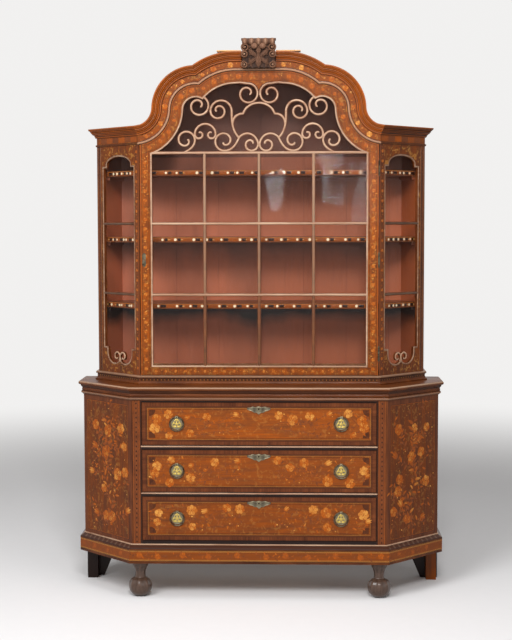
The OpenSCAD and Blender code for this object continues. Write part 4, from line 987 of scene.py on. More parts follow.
class CABINET_OT_drawer_inlay(bpy.types.Operator):
    """Lay flowers, stems and leaves into the drawer fronts"""
    bl_idname = "cabinet.drawer_inlay"
    bl_label = "Drawer marquetry"

    def execute(self, context):
        flowers = {
            "upper": [(-423, 20), (-431, -18), (-375, 40), (-282, 32), (-215, 29), (-372, -50), (-286, -39),
                      (-79, 39), (82, 36), (140, 17), (210, 32), (278, 35), (369, 44), (426, 11), (434, -16),
                      (374, -48)],
            "middle": [(-423, 20), (-432, -11), (-363, 46), (-268, 28), (-183, 37), (-283, -28), (-371, -49),
                       (-72, 41), (77, 45), (128, 16), (187, 36), (274, 28), (285, -41), (377, -49), (434, 3),
                       (437, -20)],
            "lower": [(-417, 23), (-424, -15), (-280, 35), (-213, 35), (-133, 45), (-80, 41), (-277, -34),
                      (104, 34), (225, 39), (278, 26), (433, 18), (438, -14), (283, -35)]}
        # Stems of the right half, from the drawer's middle: start, end and sway
        stems = ((60, -6, 205, 4, 0.22), (205, 4, 288, -4, -0.3), (288, -4, 300, -34, 0.2),
                 (380, -40, 432, -34, 0.25), (432, -34, 447, 34, -0.16), (300, 44, 400, 44, 0.12),
                 (150, -38, 262, -44, 0.2), (60, -6, 150, -38, -0.2), (205, 4, 236, -22, 0.3))
        for number, level in enumerate(LEVELS):
            rng = np.random.default_rng(40 + number)
            low, high = span("drawer_front_" + level)
            middle = (low[2] + high[2]) / 2
            shape = Shape()
            for side in (-1, 1):
                for s0, t0, s1, t1, sway in stems:
                    shape.sprig(FRONT, (side * s0, middle + t0), (side * s1, middle + t1), side * sway, rng,
                                18.0, tone=0.5)
            for index, (s, t) in enumerate(flowers[level]):
                size, tone = mm("petal") * rng.uniform(0.85, 1.25), rng.uniform(0.66, 0.76)
                root = (np.sign(s) * (205 if abs(s) < 300 else 400), middle + 0.2 * t)
                shape.sprig(FRONT, root, (s, middle + t), 0.2 * (-1) ** index, rng, 15.0, tone=0.5)
                if index % 4 == 3:
                    shape.tulip(FRONT, s, middle + t, size, tone, math.atan2(t, s) + 0.4)
                else:
                    shape.flower(FRONT, s, middle + t, size, tone, 5 + index % 3, rng.uniform(0, 1), 0.45)
            buds = rng.uniform((70, -52), (455, 52), (26, 2)) * np.where(np.arange(26) % 2, 1, -1)[:, None]
            buds = buds[np.hypot(np.abs(buds[:, 0]) - mm("ring_x"), buds[:, 1]) > 44]
            shape.discs(FRONT, buds[:, 0], middle + buds[:, 1], rng.uniform(1.8, 3.4, len(buds)),
                        rng.uniform(0.6, 0.8, len(buds)))
            shape.piece("drawer_inlay_" + level, "drawer_" + level, "marquetry", "inlay_woods")
        return {"FINISHED"}


class CABINET_OT_panel_inlay(bpy.types.Operator):
    """Lay the bouquets into the canted panels and the lines and dots into the chest's stiles and plinth"""
    bl_idname = "cabinet.panel_inlay"
    bl_label = "Chest marquetry"

    def execute(self, context):
        flowers = {"left": [(243, 707), (69, 707), (229, 615), (48, 632), (176, 598), (254, 504), (94, 511),
                            (42, 525), (226, 325), (175, 324), (134, 325), (41, 358), (160, 690), (190, 440)],
                   "right": [(71, 706), (172, 704), (194, 647), (215, 598), (152, 583), (66, 588), (77, 496),
                             (70, 446), (98, 378), (41, 364), (127, 323), (211, 315), (250, 700), (246, 470)]}
        for number, (side, place) in enumerate(CANTS.items()):
            rng = np.random.default_rng(70 + number)
            shape = Shape()
            middle = CANT_LENGTH / 2
            trunk = [(middle + s, t) for s, t in ((0, 300), (-34, 395), (26, 500), (-20, 600), (8, 742))]
            for index, (a, b) in enumerate(zip(trunk, trunk[1:])):
                shape.sprig(place, a, b, 0.2 * (-1) ** index, rng, 32.0, 3.4, 15.0, 0.56)
            for index, (s, t) in enumerate(flowers[side]):
                near = min(trunk, key=lambda p: abs(p[1] + 60 - t) + 0.2 * abs(p[0] - s))
                shape.sprig(place, near, (s, t), 0.28 * (-1) ** index, rng, 24.0, 2.2, 13.0, 0.52)
                size, tone = mm("petal") * rng.uniform(1.0, 1.45), rng.uniform(0.62, 0.72)
                if index % 3 == 2:
                    shape.tulip(place, s, t, size * 1.1, tone, math.atan2(t - near[1], s - near[0]))
                else:
                    shape.flower(place, s, t, size, tone, 5 + index % 3, rng.uniform(0, 1), 0.4)
            for _ in range(40):
                a = rng.uniform((34, 275), (CANT_LENGTH - 34, 790))
                b, sway = a + rng.uniform(-46, 46, 2), rng.uniform(-0.4, 0.4)
                shape.sprig(place, a, b, sway, rng, 21.0, 1.8, 11.0, 0.5)
            spots = rng.uniform((30, 262), (CANT_LENGTH - 30, 800), (60, 2))
            shape.discs(place, *spots.T, rng.uniform(1.6, 3.6, 60), rng.uniform(0.5, 0.8, 60))
            shape.piece("canted_inlay_" + side, "root", "marquetry", "inlay_woods")
        self.stile_lines()
        self.beads()
        self.plinth_flowers()
        return {"FINISHED"}

    def stile_lines(self):
        """Lines, a red band and dots up the chest's stiles."""
        shape = Shape()
        low, high = CHEST_Z + 2, TOP_Z - WAIST - 2
        for side in (-1, 1):
            middle = side * (CHEST_HALF - STILE / 2)
            for offset, width, tone in ((-19 * side, 4.4, 0.0), (-15 * side, 1.2, 0.3), (17 * side, 1.6, 0.2),
                                        (-12, 3.6, 0.46), (12, 3.6, 0.46)):
                shape.stem(FRONT, [(middle + offset, low), (middle + offset, high)], width, tone)
            shape.ribbon(FRONT, [(middle - 8.5, low), (middle - 8.5, high)], (17, 0), 0.36)
            up = np.arange(low + 12, high, 20.0)
            shape.discs(FRONT, middle, up, 3.4, 0.02, 1.8)
            shape.discs(FRONT, middle, up + 10, 1.6, 0.56, 1.8)
        shape.piece("stile_inlay", "root", "marquetry", "inlay_woods")

    def beads(self):
        """Pale beads between the drawers and on the plinth."""
        beads, half = Shape(), CHEST_HALF - STILE
        for level in LEVELS[1:]:
            z = span("drawer_front_" + level)[0][2] - 6.0
            beads.bar(FRONT, [(-half, z), (half, z)], round_section(6.0, 2.2), 0.66)
        beads.piece("rail_beads", "root", "walnut", "bead_wood")
        bead = np.array([[-1, 0], [2.4, 0], [3.6, 1.4], [3.8, 2.8], [3.2, 4.4], [1.6, 5.4], [-1, 5.6]])
        Shape().moulding(bead, CHEST_HALF, CHEST_CANT, 0.0, 226.2, 0.74).piece(
            "plinth_bead", "root", "walnut", "bead_wood", closed=True)

    def plinth_flowers(self):
        """Flowers between pairs of sprigs along the plinth's face."""
        rng, shape = np.random.default_rng(5), Shape()
        middle, out = PLINTH_Z + 33, 20
        rows = [(Place(0, -out), [-497, -421, -317, -209, -90, 30, 110, 203, 317, 420, 505])]
        rows += [(Place(k * (CHEST_HALF + 8), -out, (k, 1)), [60, 150, 240]) for k in (-1, 1)]
        for place, row in rows:
            for index, s in enumerate(row):
                shape.flower(place, s, middle + 3 * (-1) ** index, 12.0, 0.6, 5 + index % 2, 0.4 * index,
                             0.45)
                for way in (-1, 1):
                    shape.sprig(place, (s, middle), (s + way * 40, middle - way * 6), 0.3 * way, rng, 16.0,
                                gap=11.0, tone=0.5)
        shape.piece("plinth_inlay", "root", "marquetry", "inlay_woods")


class CABINET_OT_case_inlay(bpy.types.Operator):
    """Lay flowers, blocks and lines into the frieze and the canted frames, and a chain along the base"""
    bl_idname = "cabinet.case_inlay"
    bl_label = "Display case marquetry"

    def execute(self, context):
        rng = np.random.default_rng(11)
        shape, reeds = Shape(), Shape()
        start = UPPER_HALF - mm("arch_in")
        whole, at = measured(arch(23.0, start)[:, 0])
        places = np.arange(34, whole - 30, 71.0)
        places += rng.uniform(-12, 12, 40)[:len(places)]
        for index, k in enumerate(places):
            spot, ahead = at(k), at(k + 24) - at(k - 24)
            # The crest hides the middle
            if abs(spot[0]) < 84:
                continue
            size, tone = rng.uniform(7, 12), rng.uniform(0.62, 0.76)
            shape.flower(DOOR_FACE, *spot, size, tone, 5 + index % 2, rng.uniform(0, 1))
            for way in (-1, 1):
                shape.sprig(DOOR_FACE, spot, spot + way * 0.55 * ahead, 0.2 * way, rng, 11.0, gap=9.0,
                            tone=0.6)
        for v in (10.6, 35.6):
            shape.stem(DOOR_FACE, arch(v, start)[:, 0], 1.6, 0.12)
        for place in UPPER_CANTS.values():
            for index, s in enumerate(np.arange(10, UPPER_CANT_LENGTH - 30, 41.0)):
                shape.ribbon(place, [(s, FRIEZE_Z + 11.5), (s + 40, FRIEZE_Z + 11.5)], (0, 23),
                             (0.5, 0.4, 0.56, 0.36)[index % 4], 0.4)
            self.canted_stiles(shape, reeds, place, rng)
        shape.piece("display_inlay", "root", "marquetry", "inlay_woods")
        reeds.piece("corner_reeds", "root", "marquetry", "moulded_walnut")
        self.base_chain()
        return {"FINISHED"}

    def canted_stiles(self, shape, reeds, place, rng):
        """Flowers and lines beside the door, and two brown reeds with dark dashes between them at the
        outer corner."""
        low, high = CASE_Z + 6, FRIEZE_Z - 6
        for s, width, tone in ((6, 1.6, 0.3), (22, 1.6, 0.3), (2.6, 2.2, 0.5)):
            shape.stem(place, [(s, low), (s, high)], width, tone)
        shape.climbing(place, 14, np.arange(low + 24, high - 10, 41.0), 6.0, 3, 0.2, 9.0, 0.6, 0.55, rng)
        outer = UPPER_CANT_LENGTH - 17
        shape.petals(place, outer, np.arange(low + 8, high - 6, 14.0), math.pi / 2, 9.0, 3.6, 0.05, 1.0)
        for s in (outer - 9, outer + 10):
            reeds.bar(place, [(s, low), (s, high)], round_section(6.0, 2.0), 0.56)

    def base_chain(self):
        """A chain of dark lozenges and bright dots along the flat of the display case's base."""
        shape = Shape()
        z, out, pitch = CHEST_TOP + 20.5, 6.2, 15.0
        rows = [(Place(0, UPPER_Y - out), np.arange(-UPPER_HALF + 8, UPPER_HALF - 6, pitch))]
        rows += [(Place(k * (UPPER_HALF + out * math.tan(HALF_CORNER)), UPPER_Y - out, (k, 1)),
                  np.arange(8, UPPER_CANT_LENGTH - 6, pitch)) for k in (-1, 1)]
        for place, row in rows:
            shape.petals(place, row - 6, z, 0.0, 12.0, 7.5, 0.1, 0.8, 0.0, (7, 5))
            shape.discs(place, row + 7.5, z, 1.7, 0.7, 1.9, 8)
        shape.piece("base_chain", "root", "marquetry", "inlay_woods")


class CABINET_OT_door_inlay(bpy.types.Operator):
    """Lay the door's lines and small flowers, and run the pale beads over bars and scrolls"""
    bl_idname = "cabinet.door_inlay"
    bl_label = "Door marquetry and beads"

    def execute(self, context):
        rng, shape = np.random.default_rng(23), Shape()
        start = UPPER_HALF - mm("arch_in")
        low, top = CASE_Z + 2.5, FRIEZE_Z - 3
        for side in (-1, 1):
            for x, high, width, tone in ((DOOR_HALF - 3.4, top, 4.0, 0.52), (DOOR_HALF - 8, top, 1.6, 0.2),
                                         (OPEN_HALF + 5.5, TRANSOM_Z - 2, 2.0, 0.2)):
                shape.stem(DOOR_FACE, [(side * x, low + 1), (side * x, high)], width, tone)
            shape.climbing(DOOR_FACE, side * (DOOR_HALF + OPEN_HALF) / 2,
                           np.arange(low + 26, TRANSOM_Z - 8, 39.0), 7.5, 5, 0.25, 10.0, 0.5, 0.6, rng)
        for index, s in enumerate(np.arange(-OPEN_HALF + 20, OPEN_HALF, 41.0)):
            shape.flower(DOOR_FACE, s, low + 16, 5.5, 0.68, 5, 0.4 * index)
            shape.sprig(DOOR_FACE, (s + 6, low + 16), (s + 34, low + 16), 0.16, rng, 8.0, 1.0, 8.0, 0.6)
        for t in (low + 4, low + 28):
            shape.stem(DOOR_FACE, [(-OPEN_HALF - 30, t), (OPEN_HALF + 30, t)], 1.3, 0.14)
        for v in (-9.0, -40.0):
            shape.stem(DOOR_FACE, arch(v, start + v * 0.35)[:, 0], 1.4, 0.14)
        whole, at = measured(arch(-24.0, start - 12)[:, 0])
        for index, k in enumerate(np.arange(26, whole - 20, 52.0)):
            spot, ahead = at(k), at(k + 22) - at(k - 22)
            shape.flower(DOOR_FACE, *spot, rng.uniform(6, 11), 0.62, 5 + index % 2, rng.uniform(0, 1), 0.52)
            shape.sprig(DOOR_FACE, spot, spot + ahead * 0.5, 0.2, rng, 9.0, gap=9.0, tone=0.6)
        shape.piece("door_inlay", "door", "marquetry", "inlay_woods")
        self.beads()
        return {"FINISHED"}

    def beads(self):
        """Half-round beads: brown ones on the door's bars, paler higher up, and pale ones round its
        opening, along every scroll and in the canted openings."""
        place = Place(0, BAR_FRONT)
        section = round_section(mm("bead"), mm("bead_rise"))
        uprights, bars, scrolls, canted = Shape(), Shape(), Shape(), Shape()
        first, second = BAR_LEVELS
        for x in (-OPEN_HALF / 2, 0, OPEN_HALF / 2):
            for low, high, tone in ((GLASS_Z + 4, first, 0.58), (first, second, 0.74),
                                    (second, TRANSOM_Z, 0.9)):
                uprights.bar(place, [(x, low), (x, high)], section * (1.5, 0.9), tone)
        uprights.piece("door_upright_beads", "door", "glazing_bar", "moulded_walnut")
        for z, tone in ((first, 0.62), (second, 0.62), (TRANSOM_Z, 0.76)):
            bars.bar(place, [(-OPEN_HALF + 4, z), (OPEN_HALF - 4, z)], section * (1.3, 1), tone)
        half = arch(-mm("door_head") - 4.0, OPEN_HALF - 4.0, whole=False)[:, 0]
        crown, *others = tracery_lines()
        side = np.concatenate([crown[::-1], half[half[:, 0] < crown[0, 0] - 12][::-1],
                               [(-OPEN_HALF + 4, GLASS_Z + 4)]])
        bars.bar(place, np.concatenate([side, side[::-1] * (-1, 1)]), section, 0.8)
        bars.piece("door_bar_beads", "door", "glazing_bar", "bead_wood")
        for line in others:
            # The last scroll stands in the middle and has no mirrored twin
            for way in (1, -1) if abs(line[:, 0].mean()) > 1 else (1,):
                scrolls.bar(place, line * (way, 1), section * (1.12, 1.1), 0.72)
        scrolls.piece("door_scroll_beads", "door", "glazing_bar", "bead_wood")
        for place in UPPER_CANTS.values():
            # Bars and curls lie 3 mm behind the canted frame's face
            face = Place(*(place.origin - 3 * place.out)[:2], place.along[:2])
            for index, (line, tone) in enumerate(zip(canted_lines(), (0.34, 0.5, 0.5, 0.06, 0.06))):
                canted.bar(face, line, section * (0.95, 1), tone, closed=index == 0)
        canted.piece("canted_bar_beads", "root", "glazing_bar", "bead_wood")


def tracery_lines():
    """The scrolls of the arch as lines in the door's plane, drawn on a grid of 452 columns by 291 rows."""
    top = FRIEZE_Z + mm("crown_rise") + mm("crown_r") - mm("door_head")
    # Point where the three middle scrolls meet
    node = (-82, 62)
    pattern = [
        np.concatenate([[(-80, 290)], curl((-46, 243), 42, 10, 95, -380)]),
        curl((-249, 193), 42, 10, 100, -380),
        joined(curl((-168, 172), 32, 9, 180, 540)[::-1],
               arc((-156, 171), 44, math.radians(176), math.radians(4), 20)[:, 0],
               bezier((-112, 171), (-113, 120), (-108, 88), node)),
        np.concatenate([arc((-70, 122), 38, math.pi, math.radians(84), 12)[:, 0], [(-57, 177)]]),
        joined(bezier(node, (-64, 86), (-20, 88), (-4.7, 44.9)), curl((-32, 35), 29, 9, 20, -330)),
        joined(bezier(node, (-94, 34), (-110, 9), (-142, 8)), curl((-143, 47), 39, 9, -90, -480)),
        joined(curl((-247, 76), 18, 8, 180, 440)[::-1], arc((-222, 76), 43, math.pi, 0, 22)[:, 0],
               curl((-197, 76), 18, 8, 0, -260)),
        joined(bezier((-305, 4), (-284, 14), (-266, 28), (-265, 52)), curl((-302, 52), 37, 9, 0, 370)),
        arc((0, 132), 73, math.radians(142), math.radians(38), 26)[:, 0]]
    scale = np.array([OPEN_HALF / 452, (top - TRANSOM_Z) / 291])
    return [line * scale + (0, TRANSOM_Z) for line in pattern]


def canted_lines():
    """Lines of the canted glazing: the opening's closed outline, drawn in by half a bead, two curls and
    two bars."""
    front, back, inset = 27.0, 34.0, 4.0
    middle, half = (front + UPPER_CANT_LENGTH - back) / 2, (UPPER_CANT_LENGTH - front - back) / 2
    low, high = CASE_Z + 34, FRIEZE_Z - 38
    # Width of the ears, rise of the arched head, height of the lobed foot, drop of the ears
    ear, rise, foot, drop = 23.0, 41.0, 67.0, 5.0
    lobe = 0.6 * (half - ear)
    lobe_x = half - ear - lobe
    r, h, spring = lobe - inset, half - inset, high - rise
    w = h - ear
    turn = np.linspace(math.pi, math.pi / 2, 16)
    left = np.concatenate([
        arc((-lobe_x, low + lobe), r, 2 * math.pi - math.acos(lobe_x / r), math.pi, 24)[:, 0],
        [(-w, low + foot + inset), (-h, low + foot + inset), (-h, spring - drop - inset),
         (-w, spring - drop - inset)],
        np.stack([w * np.cos(turn), spring + (rise - inset) * np.sin(turn)], -1)])
    foot_curl = curl((20, 36), 20, 7, 225, -120)
    return [np.concatenate([left, (left[::-1] * (-1, 1))[1:-1]]) + (middle, 0),
            *(foot_curl * (k, 1) + (middle, low) for k in (-1, 1)),
            *(np.array([(middle - half + 6, z), (middle + half - 6, z)]) for z in BAR_LEVELS)]


class CABINET_OT_shelf_edges(bpy.types.Operator):
    """Edge the shelves with a bright strip, bone dots, dark blocks and lozenges"""
    bl_idname = "cabinet.shelf_edges"
    bl_label = "Shelf edges"

    def execute(self, context):
        shape, rng = Shape(), np.random.default_rng(3)
        front = span("shelves")[0][1]
        # Where the shelves' front edge turns back behind the canted frames
        corner = 518.3
        for index, top in enumerate(SHELF_TOPS):
            rows = [(Place(0, front), -OPEN_HALF - 64, OPEN_HALF + 64,
                     np.arange(-OPEN_HALF - 30, OPEN_HALF + 40, 63.0) + 11 * index)]
            rows += [(Place(k * corner, front, (k, 1)), 4.0, 190.0, np.arange(24.0, 180.0, 34.0))
                     for k in (-1, 1)]
            middle = top - 11
            for place, first, last, row in rows:
                shape.ribbon(place, [(first, top - 19.0), (last, top - 19.0)], (0, 16), 0.52, 0.9)
                # A dark line along the shelf's lower edge, and a pale line along its upper edge that is a
                # painted highlight.
                for drop, width, tone in ((18.4, 2.2, 0.06), (2.6, 1.4, 0.7)):
                    shape.stem(place, [(first, top - drop), (last, top - drop)], width, tone)
                row = row + rng.uniform(-14, 14, len(row))
                shape.petals(place, row + 17, middle, 0.0, rng.uniform(9, 22, len(row)), 12.0, 0.84, 0.6)
                for s, run in zip(row + 9, rng.uniform(12, 24, len(row))):
                    shape.ribbon(place, [(s, top - 17.6), (s + run, top - 17.6)], (0, 13.2), 0.08, 1.0)
                shape.petals(place, row[1::2] + 8, middle, 0.0, 22.0, 15.0, 0.3, 0.6)
                shape.discs(place, row, middle, rng.uniform(5.4, 7.2, len(row)), 1.0, 3.4)
        shape.piece("shelf_edging", "root", "shelf", "inlay_woods")
        return {"FINISHED"}


class CABINET_OT_feet(bpy.types.Operator):
    """Turn and carve the two ball feet"""
    bl_idname = "cabinet.feet"
    bl_label = "Front feet"

    def execute(self, context):
        section = moulded((0.5, 0), (10.2, 0), (49, 42, 0.2), (25, 80, 0.18), (22, 86, -0.1),
                          (21.5, 96, -0.04), (25, 114, -0.06), (31, 126, -0.06), (33, 133), (33, 152),
                          (0.5, 152))
        radius, height = section.T[:, :, None]
        turn = round_turn(72)
        lobe = np.abs(np.cos(4 * turn))
        leaf = np.clip((height - 86) / 20, 0, 1) * np.clip((140 - height) / 12, 0, 1)
        grip = np.exp(-((height - 62) / 20) ** 2)
        carved = radius * (1 - 0.1 * leaf * np.abs(np.sin(4 * turn)) ** 0.7 - 0.09 * grip * (1 - lobe ** 3))
        # Painted highlight and shade: lighter on the carved ridges of the collar and the claws, darker in the
        # grooves.
        tone = 0.42 + 0.3 * leaf * (lobe - 0.4) + 0.25 * grip * (lobe ** 3 - 0.3)
        for side in SIDES:
            x, y, _ = sum(span("front_foot_" + side)) / 2
            Shape().grid(grid_points(x + carved * np.cos(turn), y + carved * np.sin(turn), height), tone,
                         wrap=True, caps=True).piece(
                "turned_foot_" + side, "root", "feet", "foot_wood", ["front_foot_" + side], 50.0, closed=True)
        return {"FINISHED"}


class CABINET_OT_crest(bpy.types.Operator):
    """Carve the crest: a rolled top, stacked volutes, crossing leaves and a scalloped foot"""
    bl_idname = "cabinet.crest"
    bl_label = "Crest"

    def execute(self, context):
        (_, front, base), (half, _, top) = span("crest")
        shape, face = Shape(), Place(0, front + 16)
        self.ground(shape, front, base, top, half)
        self.roll(shape, front, top, half)
        drops = np.linspace(-half + 16, half - 16, 7)
        shape.petals(face, drops, top - 20.0, -math.pi / 2, 20.0, 15.0, 0.6, 0.9, 0.0, (9, 7))
        # Two domes under the roll, their tone rising towards the middle as a painted highlight.
        turn, out = round_turn(28), np.linspace(0, math.pi / 2, 9)[:, None]
        for s in (-17.0, 17.0):
            dome = grid_points(s + 14.5 * np.cos(out) * np.cos(turn), front + 9 - 7 * np.sin(out),
                               top - 33 + 13.0 * np.cos(out) * np.sin(turn))
            shape.grid(dome, 0.34 + 0.42 * np.sin(out), wrap=True)
        self.leaves(shape, face, base, top)
        # The volutes and their eyes carry a light tone as painted highlight.
        for side in (-1, 1):
            for height, size in ((top - 38, 15.0), (top - 66, 13.0), (base + 20, 12.5)):
                eye = (side * (half - size - 1), height)
                shape.bar(Place(0, front + 14), curl(eye, size, 3.0, 90, 90 - side * 560, 60),
                          round_section(6.4, 10.0), 0.72)
                shape.discs(Place(0, front + 6), *eye, 3.6, 0.9, 12.0)
        shape.piece("crest_carving", "root", "carving", "crest_wood", ["crest"], 46.0)
        return {"FINISHED"}

    def ground(self, shape, front, base, top, half):
        """The hollow ground behind the carving, wavy along its foot, with its back and its two ends, all of a
        dark tone as painted shade behind the carving.
        """
        x = np.linspace(-half + 4, half - 4, 45)
        foot = base + 5 + 4 * np.abs(np.sin(x / half * 3 * math.pi))
        up = np.linspace(0, 1, 20)[:, None]
        hollow = 5 * np.sin(math.pi * up) * np.cos(x / half * math.pi / 2) - 2
        ground = grid_points(x, front + 16 + hollow, foot + (top - 16 - foot) * up)
        back = ground[::-1].copy()
        back[..., 1] = UPPER_Y + np.where(back[..., 2] > top - 50, 20, -4)
        shape.grid(np.concatenate([ground, back, ground[:1]]), 0.1, flip=True)
        for k in (0, -1):
            end = ground[:, k]
            shape.grid(np.stack([end, end * (1, 0, 1) + (0, UPPER_Y + 2.0, 0)]), 0.15, flip=k == 0)

    def roll(self, shape, front, top, half):
        """The rolled top, which swells like bead and reel with the cosine of its length, and its cover; its
        tone is lighter where it swells, a painted highlight.
        """
        turn = round_turn(28)
        along = np.linspace(-half + 3, half - 3, 60)[:, None]
        reel = np.cos(along / half * 5 * math.pi)
        swell = 13.0 + 1.6 * reel
        swell[[0, -1]] = 4.0
        shape.grid(grid_points(along, front + 15 + swell * np.cos(turn), top - 15 + swell * np.sin(turn)),
                   0.55 + 0.3 * reel, wrap=True, caps=True)
        slab = moulded((0, 0), (24, 0), (24, 3, 0.3), (22, 8, 0.2), (0, 8))
        shape.grid(grid_points(np.array([[-half], [half]]), front + 42 - slab[:, 0], top - 9 + slab[:, 1]),
                   0.5, wrap=True, caps=True)

    def leaves(self, shape, face, base, top):
        """Acanthus leaves, crossing like an X, with one upright and one hanging in the middle: sheets with
        a raised rib and four lobes, whose width and lift swing with the cosine of four turns; the tone rises
        with the lift as a painted highlight and falls at the lobes' edges as painted shade."""
        middle = (base + top) / 2 - 14
        leaves = [(0, base + 8, 90, 62, 30, 12.0), (0, top - 30, -90, 44, 26, 11.0)]
        for side in (-1, 1):
            leaves += [(side * 6, middle, 90 - side * 48, 52, 24, 10.0),
                       (side * 6, middle, -90 + side * 50, 50, 22, 9.0),
                       (side * 30, base + 10, 90 - side * 12, 40, 18, 8.0),
                       (side * 30, top - 40, -90 + side * 10, 34, 16, 8.0)]
        u = np.linspace(0, 1, 34)[:, None]
        w = np.linspace(-1, 1, 13)[None, :]
        lobes = np.cos(2 * math.pi * 4 * u)
        bow = 0.35 + 0.65 * np.sin(math.pi * u) ** 0.6
        for s, t, angle, size, width, rise in leaves:
            wide = width / 2 * np.sin(math.pi * np.clip(u, 0.01, 0.99) ** 0.8) ** 0.7 * (1 + 0.22 * lobes)
            a = math.radians(angle)
            ahead, aside = u * size, w * wide
            lift = rise * bow * (1 - 0.55 * w ** 2)
            lift = lift - 2.2 * np.abs(np.sin(w * 5)) * (u * (1 - u) * 4) - 1.8 * lobes * np.abs(w)
            lift = np.where(np.abs(w) > 0.99, -3.0, lift)
            tone = np.clip(0.04 + 0.05 * lift - 0.12 * lobes * np.abs(w), 0.02, 1.0)
            shape.grid(face.put(s + ahead * math.cos(a) - aside * math.sin(a),
                                t + ahead * math.sin(a) + aside * math.cos(a), lift - 2), tone)


